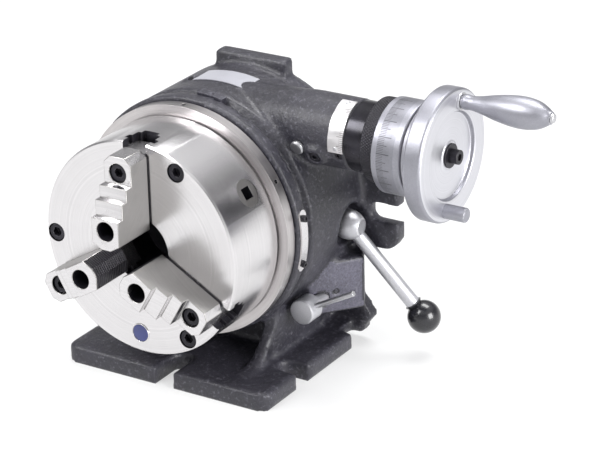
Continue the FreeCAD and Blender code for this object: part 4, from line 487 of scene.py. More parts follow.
def knob_material():
    """Moulded black plastic with a faint ripple, light specks and patchy gloss."""
    material, tree, where = new_material("knob_plastic")
    dirt = use(tree, SMUDGE, {"Where": where})
    base = blend(tree, times(tree, dirt["Speck"], 0.35), PLASTIC, scaled(PLASTIC, 4))
    finish_material(tree, Base_Color=base, Roughness=span(tree, dirt["Patch"], 0.0, 1.0, 0.2, 0.34),
                    Normal=bumped(tree, noise(tree, where, 120.0, 2.0), 0.12, 0.0003),
                    Coat_Weight=0.4, Coat_Roughness=0.12)
    return material


def badge_material():
    """Glossy vitreous enamel in a plain colour."""
    material, tree, where = new_material("badge_enamel")
    dirt = use(tree, SMUDGE, {"Where": where})
    shade = blend(tree, noise(tree, where, 60.0), BADGE_BLUE, scaled(BADGE_BLUE, 1.5))
    finish_material(tree, Base_Color=shade, Roughness=span(tree, dirt["Patch"], 0.0, 1.0, 0.18, 0.32),
                    Coat_Weight=0.8, Coat_Roughness=0.08)
    return material


def label_material():
    """Silvery film, slightly uneven."""
    material, tree, where = new_material("label_film")
    tone = blend(tree, noise(tree, where, 40.0), scaled(LABEL_FILM, 0.92), LABEL_FILM)
    finish_material(tree, Base_Color=tone, Roughness=0.4, Coat_Weight=0.3, Coat_Roughness=0.2)
    return material


CASTING = enamel("casting_enamel", ENAMEL, 0.9)
COLLAR_PAINT = enamel("collar_enamel", scaled(ENAMEL, 1.2), 0.25)
# Lighter enamel on the clamp block's face that looks forward and right: painted light.
PAD_PAINTED_LIGHT = enamel("pad_enamel", scaled(ENAMEL, 3.2), 0.35)
CHUCK_STEEL = machined("chuck_steel", STEEL, SPINDLE, rough=0.24, stain=0.06, patch=0.04)
RING_STEEL = machined("ring_steel", RING, SPINDLE, 0.7, 0.3, 1700.0, 0.15, 0.06)
JAW_STEEL = machined("jaw_steel", STEEL, UPRIGHT, 0.25, 0.26, 2200.0, 0.1, 0.06)
# Darker, rougher steel on the top jaws' sides and rounded edges: painted darker reflection and shade.
JAW_SIDE_SHADED = machined("jaw_side_steel", JAW_SIDE, UPRIGHT, rough=0.4, density=1500.0, patch=0.06)
PINION_STEEL = machined("pinion_steel", JAW_SIDE, UPRIGHT, rough=0.36, density=1500.0, stain=0.3)
SATIN_STEEL = machined("satin_steel", SATIN, UPRIGHT, rough=0.42, density=1400.0, stain=0.12)
FACE_METAL = machined("face_metal", WHEEL_FACE, WORM, rough=0.4, density=1500.0, stain=0.05, patch=0.05)
BRONZE_METAL = machined("bronze_metal", BRONZE, SPINDLE, 0.4, 0.33)
COVER_IRON = machined("cover_iron", COVER_GREY, SPINDLE, 0.9, 0.42, 1300.0, 0.5)
JAW_TIP_STEEL = blackened("jaw_tip_steel", UPRIGHT, pitch=0.0026)
NECK_BLACK = blackened("neck_black", WORM, rough=0.16)
# Blackened steel of the small screws and keys; also painted shade in the chuck's recesses, holes and
# sockets, on the master jaws' sides and along rounded edges.
DARK_STEEL_AND_SHADE = blackened("dark_steel", UPRIGHT)
# Blackened round parts of the worm and clamp; also a painted shadowed bore on the lever hub's end.
DARK_ROUND_AND_SHADE = blackened("dark_round", WORM)
DARK_SPINDLE = blackened("dark_spindle", SPINDLE)
ALLOY_ROUND = blasted("alloy_round", ALLOY, WORM)
GRIP_METAL = blasted("grip_metal", ALLOY, WORM)
LEVER_METAL = blasted("lever_metal", LEVER, WORM)
DIAL_METAL = dial_material()
SCALE_METAL = scale_material()
KNOB_PLASTIC = knob_material()
BADGE_ENAMEL = badge_material()
LABEL_METAL = label_material()


# Meshes.
def link_mesh(name, mesh, material, body, *replaced, slot="ground_steel"):
    """Put a finished mesh in the scene on its body, in place of the nodes that it stands for; slot is not
    used.
    """
    piece = bpy.data.objects.new(name, mesh)
    bpy.context.scene.collection.objects.link(piece)
    mesh.materials.append(material)
    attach(piece, body)
    if replaced:
        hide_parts(*replaced)
    return piece


def smooth(mesh, angle=40.0):
    """Smooth shading, sharp where faces meet at more than the angle."""
    mesh.shade_smooth()
    mesh.set_sharp_from_angle(angle=math.radians(angle))


def points_of(mesh):
    """Points of a mesh as rows of x, y, z."""
    points = np.empty(len(mesh.vertices) * 3)
    mesh.vertices.foreach_get("co", points)
    return points.reshape(-1, 3)


def rework(mesh, source, merge=0.0, flatten=0.0, fill=False, outward=False, added=None):
    """Write a mesh from a source, if asked with another mesh added, near points merged, flat joints
    taken out, four-sided holes filled and faces turned outwards."""
    shape = bmesh.new()
    shape.from_mesh(source)
    if added is not None:
        shape.from_mesh(added)
    if merge:
        bmesh.ops.remove_doubles(shape, verts=shape.verts, dist=merge)
    if flatten:
        bmesh.ops.dissolve_limit(shape, angle_limit=flatten, verts=shape.verts, edges=shape.edges)
    if fill:
        bmesh.ops.holes_fill(shape, edges=shape.edges, sides=4)
    if outward:
        bmesh.ops.recalc_face_normals(shape, faces=shape.faces)
    shape.to_mesh(mesh)
    shape.free()


def dressed(node, material, bevel=0.0004, angle=32.0):
    """A merged copy of a CAD node with smooth curves and broken edges, which stands for it."""
    source = frame["nodes"][node]
    mesh = bpy.data.meshes.new(node + "_dressed")
    rework(mesh, source.data, merge=2e-6, flatten=math.radians(0.6))
    mesh.materials.clear()
    smooth(mesh, angle)
    piece = link_mesh(node + "_dressed", mesh, material, source["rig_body"], node)
    if bevel:
        rounded = piece.modifiers.new("broken_edges", "BEVEL")
        rounded.width = bevel
        rounded.segments = 2
        rounded.limit_method = "ANGLE"
        rounded.angle_limit = math.radians(angle)
    return piece


def grid_mesh(name, grid, close_rows=False, close_columns=False, fill=False):
    """Mesh over a grid of points (rows, columns, 3); rows or columns may close on themselves."""
    rows, columns = grid.shape[:2]
    index = np.arange(rows * columns).reshape(rows, columns)
    down = np.roll(index, -1, 0) if close_rows else index[1:]
    base = index if close_rows else index[:-1]
    if close_columns:
        right_base, right_down = np.roll(base, -1, 1), np.roll(down, -1, 1)
    else:
        base, right_base = base[:, :-1], base[:, 1:]
        down, right_down = down[:, :-1], down[:, 1:]
    quads = np.stack([base, right_base, right_down, down], -1).reshape(-1, 4)
    mesh = bpy.data.meshes.new(name)
    mesh.from_pydata(grid.reshape(-1, 3).tolist(), [], quads.tolist())
    rework(mesh, mesh, merge=1e-7, fill=fill, outward=True)
    return mesh


def rounded_profile(corners, steps=5):
    """Profile through corners (along, radius, rounding): each corner becomes a curve between the
    points that lie the rounding away from it, by Bezier weights (1-t)^2, 2t(1-t), t^2."""
    count = len(corners)
    out = []
    t = np.linspace(0, 1, steps)[:, None]
    for i, (along, radius, soft) in enumerate(corners):
        here = np.array((along, radius))
        if soft <= 0:
            out.append(here[None])
            continue
        before = np.array(corners[i - 1][:2])
        after = np.array(corners[(i + 1) % count][:2])
        start = here + (before - here) / np.linalg.norm(before - here) * soft
        end = here + (after - here) / np.linalg.norm(after - here) * soft
        out.append((1 - t) ** 2 * start + 2 * t * (1 - t) * here + t ** 2 * end)
    return np.concatenate(out)


def round_angles(steps):
    """Angles of one full turn, as a row."""
    return np.linspace(0, 2 * np.pi, steps, endpoint=False)[None]


def lathe_grid(profile, centre, axis="X", steps=160):
    """Points of a profile turned about an axis: along the axis, and radius times cos and sin."""
    angle = round_angles(steps)
    along = np.broadcast_to(profile[:, :1], (len(profile), steps))
    c, s = profile[:, 1:] * np.cos(angle), profile[:, 1:] * np.sin(angle)
    if axis == "X":
        return np.stack([along, centre[1] + c, centre[2] + s], -1)
    return np.stack([centre[0] + c, along, centre[2] + s], -1)


def lathe(name, corners, centre, material, body, *replaced, axis="X", steps=160, closed=True):
    """Turned piece from rounded corners; a closed profile also closes round its bore."""
    grid = lathe_grid(rounded_profile(corners), centre, axis, steps)
    mesh = grid_mesh(name, grid, close_rows=closed, close_columns=True)
    smooth(mesh)
    return link_mesh(name, mesh, material, body, *replaced)


def turned_about(name, profile, start, line, steps):
    """Mesh of a profile turned about a slanting line: start + along * way + radius * (cos * side
    + sin * up), with way along the line and side level."""
    way = line.normalized()
    side = way.cross(Vector((0, 0, 1))).normalized()
    up = way.cross(side)
    angle = round_angles(steps)
    along = np.broadcast_to(profile[:, :1], (len(profile), steps))[..., None]
    c = (profile[:, 1:] * np.cos(angle))[..., None]
    s = (profile[:, 1:] * np.sin(angle))[..., None]
    grid = np.array(start) + along * np.array(way) + c * np.array(side) + s * np.array(up)
    return grid_mesh(name, grid, close_columns=True)


def second_finish(piece, material, chosen, slot_index=1):
    """Give another material to the faces that chosen(centres, normals) picks, as arrays."""
    mesh = piece.data
    if len(mesh.materials) <= slot_index:
        mesh.materials.append(material)
    count = len(mesh.polygons)
    centres, normals = np.empty(count * 3), np.empty(count * 3)
    mesh.polygons.foreach_get("center", centres)
    mesh.polygons.foreach_get("normal", normals)
    index = np.empty(count, np.int32)
    mesh.polygons.foreach_get("material_index", index)
    index[chosen(centres.reshape(-1, 3), normals.reshape(-1, 3))] = slot_index
    mesh.polygons.foreach_set("material_index", index)


# Casting.
def housing_body():
    """The casting: the CAD solid remeshed finely and softened, so that its corners get cast radii."""
    mesh = frame["nodes"]["housing"].data.copy()
    mesh.materials.clear()
    rework(mesh, mesh, merge=2e-6)
    rough = bpy.data.objects.new("housing_rough", mesh)
    bpy.context.scene.collection.objects.link(rough)
    remesh = rough.modifiers.new("remesh", "REMESH")
    remesh.mode = "VOXEL"
    remesh.voxel_size = VOXEL
    dense = bpy.data.meshes.new_from_object(rough.evaluated_get(bpy.context.evaluated_depsgraph_get()))
    bpy.data.objects.remove(rough)
    points = points_of(dense)
    edges = np.empty(len(dense.edges) * 2, np.int64)
    dense.edges.foreach_get("vertices", edges)
    softened = relaxed(points, edges.reshape(-1, 2), cast_softness(points)[:, None])
    dense.vertices.foreach_set("co", np.clip(softened, *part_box("housing")).ravel())
    dense.update()
    dense.shade_smooth()
    dense.name = "housing_cast"
    # The clamp block's face that looks forward and right gets lighter enamel: painted light.
    second_finish(link_mesh("housing_cast", dense, CASTING, "housing", "housing"), PAD_PAINTED_LIGHT, lit_clamp_pad)


def lit_clamp_pad(centres, normals):
    """The face of the clamp block which looks forward and to the right, in lighter enamel as painted light.
    """
    flush = np.abs(centres @ PAD_WAY - PAD_PLANE) < PAD_SLACK
    height = centres[:, 2]
    return (normals @ PAD_WAY > 0.97) & flush & (height > PAD_HEIGHTS[0]) & (height < PAD_HEIGHTS[1])


def cast_softness(points):
    """How far each point may relax: 1 on cast skin, less on the collar, the tube's end and the rear
    face, and 0 on the sole."""
    x, y, z = points.T
    soft = np.ones(len(points))
    soft[z < SOLE_TOP] = 0.0
    ring = np.hypot(x, z - AXIS_Z)
    on_band = (ring > COLLAR_BAND[0]) & (ring < COLLAR_BAND[1])
    soft[(y < COLLAR_FACE) & on_band & (z > COLLAR_LOW)] = 0.15
    soft[x > TUBE_END] = 0.3
    soft[y > REAR_FACE] = 0.3
    return soft


def relaxed(points, edges, share):
    """Points moved towards the mean of their neighbours, then back by a little less, which rounds
    corners and nearly keeps the volume."""
    counts = np.bincount(edges.ravel(), minlength=len(points))[:, None].clip(1)
    for rate in (SOFT_OUT, SOFT_BACK) * SOFT_ROUNDS:
        total = np.zeros_like(points)
        for k in range(3):
            total[:, k] = (np.bincount(edges[:, 0], points[edges[:, 1], k], len(points))
                           + np.bincount(edges[:, 1], points[edges[:, 0], k], len(points)))
        points = points + (total / counts - points) * rate * share
    return points


def zero_plate():
    """Thin plate with round ends, bent round the collar: its half width falls to nothing at each end
    as sqrt(1 - u^2)."""
    points = points_of(frame["nodes"]["zero_plate"].data) - SPINDLE_AT
    radius = np.hypot(points[:, 0], points[:, 2])
    turn = np.arctan2(points[:, 2], points[:, 0])
    front, back = points[:, 1].min(), points[:, 1].max()
    half = (back - front) / 2
    angle = np.linspace(turn.min(), turn.max(), 160)
    length = radius.max() * np.minimum(angle - angle[0], angle[-1] - angle)
    width = half * np.sqrt(1 - (1 - np.minimum(length / half, 1.0)) ** 2).clip(0.02)
    across = np.stack([-width, width, width, -width], -1) + (front + back) / 2
    lift = np.array([radius.max(), radius.max(), radius.min(), radius.min()])
    mesh = bent_plate("zero_plate_round", angle[:, None], lift, across)
    smooth(mesh)
    link_mesh("zero_plate_round", mesh, JAW_STEEL, "housing", "zero_plate")


def label_plate():
    """Bare curved metal plate on top of the drum: an arc about the spindle axis, with its thickness."""
    angle = np.radians(np.linspace(*LABEL_TURN, 40))
    across = np.broadcast_to(np.repeat(LABEL_WAY, 2), (40, 4))
    lift = DRUM_RADIUS + np.array([*LABEL_LIFT, *LABEL_LIFT[::-1]])
    mesh = bent_plate("label_plate", angle[:, None], lift, across)
    smooth(mesh, 30)
    link_mesh("label_plate", mesh, LABEL_METAL, "housing", slot="light_metal")


def bent_plate(name, angle, lift, across):
    """Mesh of a strip bent about the spindle axis: four corners at lift * cos, across, lift * sin."""
    grid = np.stack([lift * np.cos(angle), across, AXIS_Z + lift * np.sin(angle)], -1)
    return grid_mesh(name, grid, close_columns=True, fill=True)


# Chuck.
def off_axis(centres):
    """Distance of points from the spindle axis."""
    return np.hypot(centres[:, 0], centres[:, 2] - AXIS_Z)


def chuck_recess_shade(centres, normals):
    """Faces inside the slots, counterbores and bore of the chuck body, away from its skin, which get dark
    steel as painted shade.
    """
    return (off_axis(centres) < CHUCK_RAD - 0.0012) & (centres[:, 1] > CHUCK_FACE + 0.0001)


def spanner_hole_shade(centres, normals):
    """Walls of the small radial holes round the index ring, which get dark steel as painted shade."""
    out = off_axis(centres)
    radial = (normals * (centres - SPINDLE_AT))[:, ::2].sum(1) / out.clip(1e-6)
    under_rim = (out > 0.05) & (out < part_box("index_ring")[1].x - 0.0004)
    return under_rim & (np.abs(radial) < 0.3) & (np.abs(normals[:, 1]) < 0.99)


def chuck_parts():
    """Index ring with dark steel in its holes and chuck body with dark steel in its recesses and on its
    rounded edges, as painted shade; and its pinions and master jaws.
    """
    second_finish(dressed("index_ring", RING_STEEL, 0.0003), DARK_STEEL_AND_SHADE, spanner_hole_shade)
    body = dressed("chuck_body", CHUCK_STEEL, 0.0004)
    second_finish(body, DARK_STEEL_AND_SHADE, chuck_recess_shade)
    # The chuck body's rounded edges take the dark steel: painted dark lines of shade.
    body.modifiers["broken_edges"].material = 1
    for k in (1, 2, 3):
        pinion(k)
        master_jaw(k)


def pinion(k):
    """Key-driven pinion with dark steel in its socket as painted shade."""
    way = np.array(joint[f"pinion_turn_{k}"]["axis"])
    low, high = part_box(f"pinion_{k}")
    middle = (np.array(low) + np.array(high)) / 2

    def socket_shade(centres, normals):
        """Socket walls and floor, painted dark as shade: near the axis, and not the outer end face."""
        along = centres @ way
        off = np.linalg.norm(centres - middle - np.outer((centres - middle) @ way, way), axis=1)
        end = along.max()
        return (off < SOCKET_RADIUS) & (along > end - SOCKET_DEPTH) & (along < end - 0.0007)
    second_finish(dressed(f"pinion_{k}", PINION_STEEL, 0.0003), DARK_STEEL_AND_SHADE, socket_shade)


def master_jaw(k):
    """Master jaw: ground ends, blackened tip, and dark steel on its sides and rounded edges as painted shade
    in the slot.
    """
    node = f"master_jaw_{k}"
    spoke, side = spoke_of(node)

    def jaw_side_shade(centres, normals):
        """All faces but the tip and the outer end, painted dark as the shade in the slot."""
        return np.abs(normals @ spoke) < 0.5
    piece = dressed(node, JAW_STEEL, 0.0004)
    second_finish(piece, JAW_TIP_STEEL, jaw_tip(spoke))
    second_finish(piece, DARK_STEEL_AND_SHADE, jaw_side_shade, 2)
    # Rounded edges in dark steel: painted lines of shade.
    piece.modifiers["broken_edges"].material = 2


def jaw_tip(spoke):
    """Test for the faces of a jaw that look at the spindle axis, near it."""
    def chosen(centres, normals):
        """Faces that look inwards, within the reach of the tip."""
        return (normals @ spoke < -0.5) & ((centres - SPINDLE_AT) @ spoke < JAW_TIP_REACH)
    return chosen


def spoke_of(node):
    """Unit vectors from the spindle axis to the middle of a jaw, and across that line."""
    low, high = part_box(node)
    x, z = (low.x + high.x) / 2, (low.z + high.z) / 2 - AXIS_Z
    length = math.hypot(x, z)
    return np.array((x, 0, z)) / length, np.array((-z, 0, x)) / length


def screw_holes(k, spoke, side):
    """Places of a jaw's two screws along its spoke, and the radius that takes in their counterbores."""
    points = points_of(frame["nodes"][f"jaw_screws_{k}"].data) - SPINDLE_AT
    along = points @ spoke
    head = np.abs(points @ side).max()
    return (along.min() + head, along.max() - head), head + 0.0008


def top_jaw(k):
    """Hardened jaw: bright front and steps; sides in a darker, rougher grey as painted darker reflection;
    painted shade in the screw holes and along rounded edges; blackened gripping tip.
    """
    node = f"top_jaw_{k}"
    spoke, side = spoke_of(node)
    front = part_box(node)[0].y
    holes, reach = screw_holes(k, spoke, side)

    def shaded_side(centres, normals):
        """Faces that look across the jaw's spoke, painted darker as their darker reflection."""
        return np.abs(normals @ side) > 0.9

    def hole_shade(centres, normals):
        """Walls of the two counterbored screw holes, painted dark as shade."""
        along, across = (centres - SPINDLE_AT) @ spoke, (centres - SPINDLE_AT) @ side
        off = np.minimum(*(np.hypot(along - hole, across) for hole in holes))
        return (off < reach) & (centres[:, 1] > front + 0.0004) & (np.abs(normals[:, 1]) < 0.5)
    piece = dressed(node, JAW_STEEL, 0.0005)
    second_finish(piece, JAW_TIP_STEEL, jaw_tip(spoke))
    second_finish(piece, JAW_SIDE_SHADED, shaded_side, 2)
    second_finish(piece, DARK_STEEL_AND_SHADE, hole_shade, 3)
    # Rounded edges in the darker side grey: painted lines of shade.
    piece.modifiers["broken_edges"].material = 2


def badge():
    """Bare round plate with a bright rim in the chuck face."""
    centre = (BADGE_OUT * math.cos(BADGE_TURN), 0, AXIS_Z + BADGE_OUT * math.sin(BADGE_TURN))
    sunk = CHUCK_FACE + 0.0002
    plate = [(CHUCK_FACE - 0.0010, 0.0, 0), (CHUCK_FACE - 0.0008, 0.004, 0.001),
             (CHUCK_FACE - 0.0004, 0.0080, 0.0006), (sunk, 0.0083, 0), (sunk, 0.0, 0)]
    rim = [(CHUCK_FACE - 0.0008, 0.0083, 0.0002), (CHUCK_FACE - 0.0008, 0.0091, 0.0003),
           (sunk, 0.0093, 0), (sunk, 0.0083, 0)]
    lathe("badge", plate, centre, BADGE_ENAMEL, "spindle", axis="Y", steps=64, closed=False)
    lathe("badge_rim", rim, centre, JAW_STEEL, "spindle", axis="Y", steps=64)


# Plain nodes.
PLAIN = {
    "chuck_back_plate": (CHUCK_STEEL, 0.0004),
    "spindle": (DARK_SPINDLE, 0.0005),
    "scroll": (CHUCK_STEEL, 0.0),
    "worm_shaft": (SATIN_STEEL, 0.0),
    "tommy_bar": (SATIN_STEEL, 0.0004),
    "clamp_screw": (LEVER_METAL, 0.0003),
    "clamp_bolt": (SATIN_STEEL, 0.0005),
    "handle_axle": (SATIN_STEEL, 0.0002),
    "stub_pin": (ALLOY_ROUND, 0.0008),
    "stop_block": (COLLAR_PAINT, 0.0006),
    "sleeve": (NECK_BLACK, 0.0005),
    "wheel_washer": (DARK_ROUND_AND_SHADE, 0.0002),
    "wheel_screw": (DARK_ROUND_AND_SHADE, 0.0005),
    "oil_plug": (SATIN_STEEL, 0.0004),
    "scale_plate": (SCALE_METAL, 0.0001),
    "scale_rivets": (SATIN_STEEL, 0.0),
    "sleeve_lock_screw": (DARK_STEEL_AND_SHADE, 0.0003),
    "set_screws": (DARK_STEEL_AND_SHADE, 0.0002),
    "cover_screws": (DARK_STEEL_AND_SHADE, 0.0003),
    "stop_screw": (DARK_STEEL_AND_SHADE, 0.0002),
    "zero_screws": (DARK_STEEL_AND_SHADE, 0.0002),
    "back_plate_screws": (DARK_STEEL_AND_SHADE, 0.0002),
    "pinion_pins": (DARK_STEEL_AND_SHADE, 0.0),
    "rear_nut": (DARK_SPINDLE, 0.0005),
    "wheel_nut": (DARK_SPINDLE, 0.0005),
    "spindle_key": (DARK_STEEL_AND_SHADE, 0.0),
    "handwheel_key": (DARK_STEEL_AND_SHADE, 0.0),
    "chuck_screws": (DARK_SPINDLE, 0.0006),
    "front_bush": (BRONZE_METAL, 0.0),
    "rear_bush": (BRONZE_METAL, 0.0),
    "worm_bushes": (BRONZE_METAL, 0.0),
    "worm_wheel": (BRONZE_METAL, 0.0),
    "brake_shoe": (BRONZE_METAL, 0.0003),
    "rear_cover": (COVER_IRON, 0.0005),
    "jaw_screws_1": (DARK_SPINDLE, 0.0006),
    "jaw_screws_2": (DARK_SPINDLE, 0.0006),
    "jaw_screws_3": (DARK_SPINDLE, 0.0006),
}


# Worm drive and clamp.
def knurled_ring():
    """Clamp ring with a diamond knurl: radius drops where two crossed sets of grooves run, each as
    1 - |sin| of along and round mixed."""
    low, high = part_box("knurled_ring")
    along = np.linspace(low.x, high.x, 33)[:, None]
    angle = round_angles(KNURL_STEPS)
    lead = along * 2 * np.pi / KNURL_PITCH
    one = np.abs(np.sin((angle * KNURL_TEETH + lead) / 2))
    two = np.abs(np.sin((angle * KNURL_TEETH - lead) / 2))
    edge = np.clip(np.minimum(along - low.x, high.x - along) / 0.0012, 0, 1)
    depth = KNURL_DEPTH * (1 - np.minimum(one, two) ** 0.7) * edge
    radius = (high.y - low.y) / 2 - 0.0011 * (1 - edge) ** 2 - depth
    outer = np.stack([np.broadcast_to(along, radius.shape), SLEEVE_Y + radius * np.cos(angle),
                      WORM_Z + radius * np.sin(angle)], -1)
    bore = lathe_grid(np.array([(high.x, KNURL_BORE), (low.x, KNURL_BORE)]), (0, SLEEVE_Y, WORM_Z),
                      steps=KNURL_STEPS)
    mesh = grid_mesh("knurled_ring_teeth", np.concatenate([outer, bore]), close_rows=True,
                     close_columns=True)
    smooth(mesh, 50)
    link_mesh("knurled_ring_teeth", mesh, DARK_ROUND_AND_SHADE, "sleeve", "knurled_ring")


def facing_out(centres, normals):
    """Faces that look out along the worm axis."""
    return normals[:, 0] > 0.8


def handwheel():
    """Turned wheel: boss, step and rim outside, a shallow dish and the seat of the washer in front."""
    low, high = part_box("handwheel")
    rim = (high.y - low.y) / 2
    rim_start = high.x - RIM_WIDTH
    step_start = rim_start - STEP_WIDTH
    boss, step, bevel = 0.016, 0.0413, 0.0022
    dish, seat = high.x - 0.004, high.x - 0.0032
    piece = lathe("handwheel_turned", [
        (low.x, 0.009, 0), (low.x, boss, 0.0006), (step_start, boss, 0.001), (step_start, step, 0.0008),
        (rim_start, step, 0.0012), (rim_start, rim - 0.0012, 0.0009), (rim_start + 0.0012, rim, 0.0008),
        (high.x - bevel, rim, 0.0012), (high.x, rim - bevel, 0.0012), (high.x, 0.0395, 0.0016),
        (dish, 0.0385, 0.0016), (dish, 0.0135, 0.001), (seat, 0.0125, 0.0008), (seat, 0.008, 0)],
        (0, 0, WORM_Z), ALLOY_ROUND, "worm", "handwheel", steps=224)
    second_finish(piece, FACE_METAL, facing_out)


def dial():
    """Turned cup, open towards the sleeve, with its bore in the web behind."""
    low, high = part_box("dial")
    radius = (high.y - low.y) / 2
    hollow, web = radius - 0.0067, high.x - 0.013
    lathe("dial_turned", [
        (low.x, hollow, 0.0004), (low.x, radius - 0.0008, 0.0006), (low.x + 0.0008, radius, 0.0004),
        (high.x - 0.0012, radius, 0.0008), (high.x, radius - 0.0012, 0.0006), (high.x, DIAL_BORE, 0.0003),
        (web, DIAL_BORE, 0.0003), (web, hollow, 0.002)],
        (0, 0, WORM_Z), DIAL_METAL, "dial", "dial", steps=256)


def grip():
    """Handle grip: the radius runs through its waist, belly and nose as cubic Hermite pieces, with
    weights 2u^3 - 3u^2 + 1, u^3 - 2u^2 + u, 3u^2 - 2u^3 and u^3 - u^2."""
    low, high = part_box("handle_grip")
    length = high.x - low.x
    biggest = (high.y - low.y) / 2
    share = np.array([0.0, 0.03, 0.09, 0.2, 0.36, 0.52, 0.66, 0.78, 0.88, 0.95, 0.985, 1.0])
    size = np.array([0.43, 0.48, 0.45, 0.54, 0.76, 0.93, 1.0, 0.955, 0.80, 0.58, 0.44, 0.40]) * biggest
    t = np.linspace(0, 1, 90)
    slope = np.gradient(size, share)
    i = np.clip(np.searchsorted(share, t, side="right") - 1, 0, len(share) - 2)
    width = share[i + 1] - share[i]
    u = (t - share[i]) / width
    radius = ((2 * u ** 3 - 3 * u ** 2 + 1) * size[i] + (u ** 3 - 2 * u ** 2 + u) * width * slope[i]
              + (3 * u ** 2 - 2 * u ** 3) * size[i + 1] + (u ** 3 - u ** 2) * width * slope[i + 1])
    profile = np.stack([low.x + t * length, radius], -1)
    bore = np.array([[high.x, GRIP_BORE], [low.x, GRIP_BORE]])
    grid = lathe_grid(np.concatenate([profile, bore]), (0, GRIP_Y, GRIP_Z), steps=96)
    mesh = grid_mesh("grip_turned", grid, close_rows=True, close_columns=True)
    smooth(mesh)
    link_mesh("grip_turned", mesh, GRIP_METAL, "grip", "handle_grip")


def arm_line():
    """Where the lever's arm leaves its hub, and the middle of its ball knob."""
    low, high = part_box("ball_knob")
    centre = Vector((high.x - KNOB_RADIUS, high.y - KNOB_RADIUS, low.z + KNOB_RADIUS))
    root = Vector(joint["lever_swing"]["pos_m"])
    root.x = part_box("clamp_lever")[0].x + ARM_ROOT
    return root, centre


def clamp_lever():
    """Lever with a domed hub, turned about its bolt, and a tapered arm that leaves it at a slant."""
    root, centre = arm_line()
    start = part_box("clamp_lever")[0].x
    end = start + HUB_LENGTH
    hub = rounded_profile([(start, 0.0, 0), (start, 0.0095, 0.001), (start + 0.006, 0.0139, 0.004),
                           (start + 0.0155, 0.0138, 0.005), (end - 0.0012, 0.0094, 0.003),
                           (end, 0.0081, 0.0004), (end, 0.0, 0)], 8)
    mesh = grid_mesh("lever_hub", lathe_grid(hub, root, "X", 96), close_columns=True)
    length = (centre - root).length - KNOB_RADIUS - 0.001
    arm = rounded_profile([(0.0, 0.0, 0), (0.0, ARM_RADIUS, 0), (length, ARM_RADIUS + 0.0005, 0.0006),
                           (length, 0.0, 0)])
    rework(mesh, mesh, added=turned_about("lever_arm", arm, root, centre - root, 64))
    smooth(mesh)

    def hub_end_shade(centres, normals):
        """The flat end of the hub, painted dark as the shade in its bore."""
        return (normals[:, 0] > 0.97) & (centres[:, 0] > end - 0.0003)
    # The hub's end takes the dark steel: a painted shadowed bore.
    second_finish(link_mesh("lever_turned", mesh, LEVER_METAL, "lever", "clamp_lever"), DARK_ROUND_AND_SHADE, hub_end_shade)


def ball_knob():
    """Moulded knob: sphere with a small collar, turned about the lever's arm."""
    root, centre = arm_line()
    tilt = np.linspace(0, np.pi * 0.86, 60)
    ball = np.stack([KNOB_RADIUS * np.cos(tilt), KNOB_RADIUS * np.sin(tilt)], -1)
    neck = np.array([[-0.0155, 0.0078], [-0.0163, 0.0084], [-0.0165, 0.0064], [-0.0165, 0.004],
                     [0.0, 0.004], [0.0, 0.0]])
    mesh = turned_about("knob_moulded", np.concatenate([ball, neck]), centre, centre - root, 96)
    smooth(mesh)
    link_mesh("knob_moulded", mesh, KNOB_PLASTIC, "lever", "ball_knob")


# Studio.
def add_camera():
    """Camera at its fitted place, turned, raised and rolled."""
    turn, rise, roll = (math.radians(a) for a in (CAMERA_TURN, CAMERA_RISE, CAMERA_ROLL))
    back = Vector((math.sin(turn) * math.cos(rise), -math.cos(turn) * math.cos(rise), math.sin(rise)))
    level = Vector((math.cos(turn), math.sin(turn), 0))
    upward = back.cross(level)
    c, s = math.cos(roll), math.sin(roll)
    right, up = c * level + s * upward, -s * level + c * upward
    data = bpy.data.cameras.new("view")
    data.lens = CAMERA_LENS
    data.sensor_width = 36.0
    camera = bpy.data.objects.new("view", data)
    bpy.context.scene.collection.objects.link(camera)
    turned = Matrix((right, up, back)).transposed().to_4x4()
    camera.matrix_world = Matrix.Translation(CAMERA_AT) @ turned
    bpy.context.scene.camera = camera


def add_lamp(name, at, size, power):
    """Soft rectangular lamp that looks at the middle of the head."""
    data = bpy.data.lights.new(name, "AREA")
    data.shape = "RECTANGLE"
    data.size, data.size_y = size
    data.energy = power
    lamp = bpy.data.objects.new(name, data)
    bpy.context.scene.collection.objects.link(lamp)
    lamp.location = at
    lamp.rotation_mode = "QUATERNION"
    lamp.rotation_quaternion = (Vector(LAMP_AIM) - Vector(at)).to_track_quat("-Z", "Y")


def mixed(tree, share, first, second):
    """Output of a shader between two others."""
    return add(tree, "ShaderNodeMixShader", {0: share, 1: first, 2: second}).outputs[0]


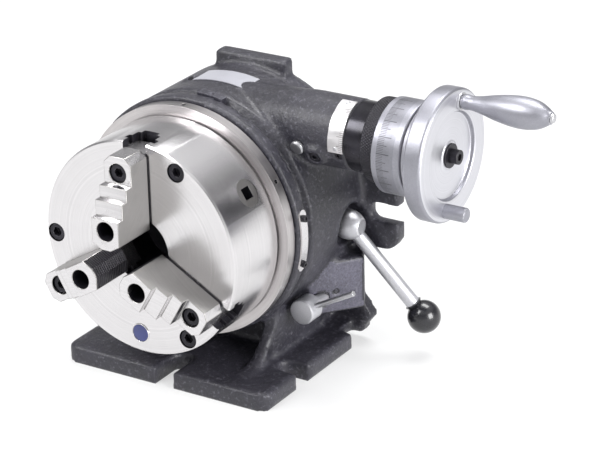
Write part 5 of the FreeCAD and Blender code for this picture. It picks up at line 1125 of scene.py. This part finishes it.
def add_surround():
    """World: white to the camera, bands of grey in polished metal, and a soft light for the rest."""
    world = bpy.data.worlds.new("surround")
    bpy.context.scene.world = world
    world.use_nodes = True
    tree = world.node_tree
    tree.nodes.clear()
    way = add(tree, "ShaderNodeTexCoord").outputs["Generated"]
    height = add(tree, "ShaderNodeSeparateXYZ", {0: way}).outputs[2]
    band = add(tree, "ShaderNodeValToRGB", {0: span(tree, height, -1.0, 1.0)})
    ramp = band.color_ramp
    ramp.elements[0].position, ramp.elements[0].color = 0.50, (0.95, 0.95, 0.95, 1)
    ramp.elements[1].position, ramp.elements[1].color = 1.0, WHITE
    for position, level in ((0.60, 0.45), (0.75, 0.17), (0.86, 0.8)):
        stop = ramp.elements.new(position)
        stop.color = (level, level, level * 1.02, 1)
    rays = add(tree, "ShaderNodeLightPath").outputs
    soft = add(tree, "ShaderNodeBackground", {"Color": (0.9, 0.92, 0.95, 1), "Strength": 0.45}).outputs[0]
    seen = add(tree, "ShaderNodeBackground", {"Color": WHITE, "Strength": 1.0}).outputs[0]
    mirrored = add(tree, "ShaderNodeBackground", {"Color": band.outputs[0], "Strength": 1.0}).outputs[0]
    lit = mixed(tree, rays["Is Glossy Ray"], soft, mirrored)
    out = add(tree, "ShaderNodeOutputWorld")
    tree.links.new(mixed(tree, rays["Is Camera Ray"], lit, seen), out.inputs[0])


def add_floor():
    """Pale paper floor, lifted towards white where the camera or a polished face sees it."""
    mesh = bpy.data.meshes.new("floor")
    h = FLOOR_HALF
    mesh.from_pydata([(-h, -h, 0), (h, -h, 0), (h, h, 0), (-h, h, 0)], [], [(0, 1, 2, 3)])
    floor = bpy.data.objects.new("floor", mesh)
    bpy.context.scene.collection.objects.link(floor)
    material, tree, where = new_material("floor_paper")
    paper = add(tree, "ShaderNodeBsdfDiffuse", {"Color": blend(tree, noise(tree, where, 8.0), *PAPER)})
    white = add(tree, "ShaderNodeEmission", {"Color": WHITE, "Strength": 1.0}).outputs[0]
    rays = add(tree, "ShaderNodeLightPath").outputs
    seen = mixed(tree, times(tree, rays["Is Camera Ray"], 0.55), paper.outputs[0], white)
    mirrored = mixed(tree, times(tree, rays["Is Glossy Ray"], 0.8), seen, white)
    out = add(tree, "ShaderNodeOutputMaterial")
    tree.links.new(mirrored, out.inputs[0])
    mesh.materials.append(material)


housing_body()
for plain_node, (plain_material, plain_bevel) in PLAIN.items():
    dressed(plain_node, plain_material, plain_bevel)
chuck_parts()
zero_plate()
for jaw in (1, 2, 3):
    top_jaw(jaw)
knurled_ring()
handwheel()
dial()
grip()
clamp_lever()
ball_knob()
badge()
label_plate()
add_camera()
add_surround()
add_floor()
for lamp_name, lamp_at, lamp_size, lamp_power in LAMPS:
    add_lamp(lamp_name, lamp_at, lamp_size, lamp_power)
bpy.context.scene.view_settings.view_transform = "Standard"
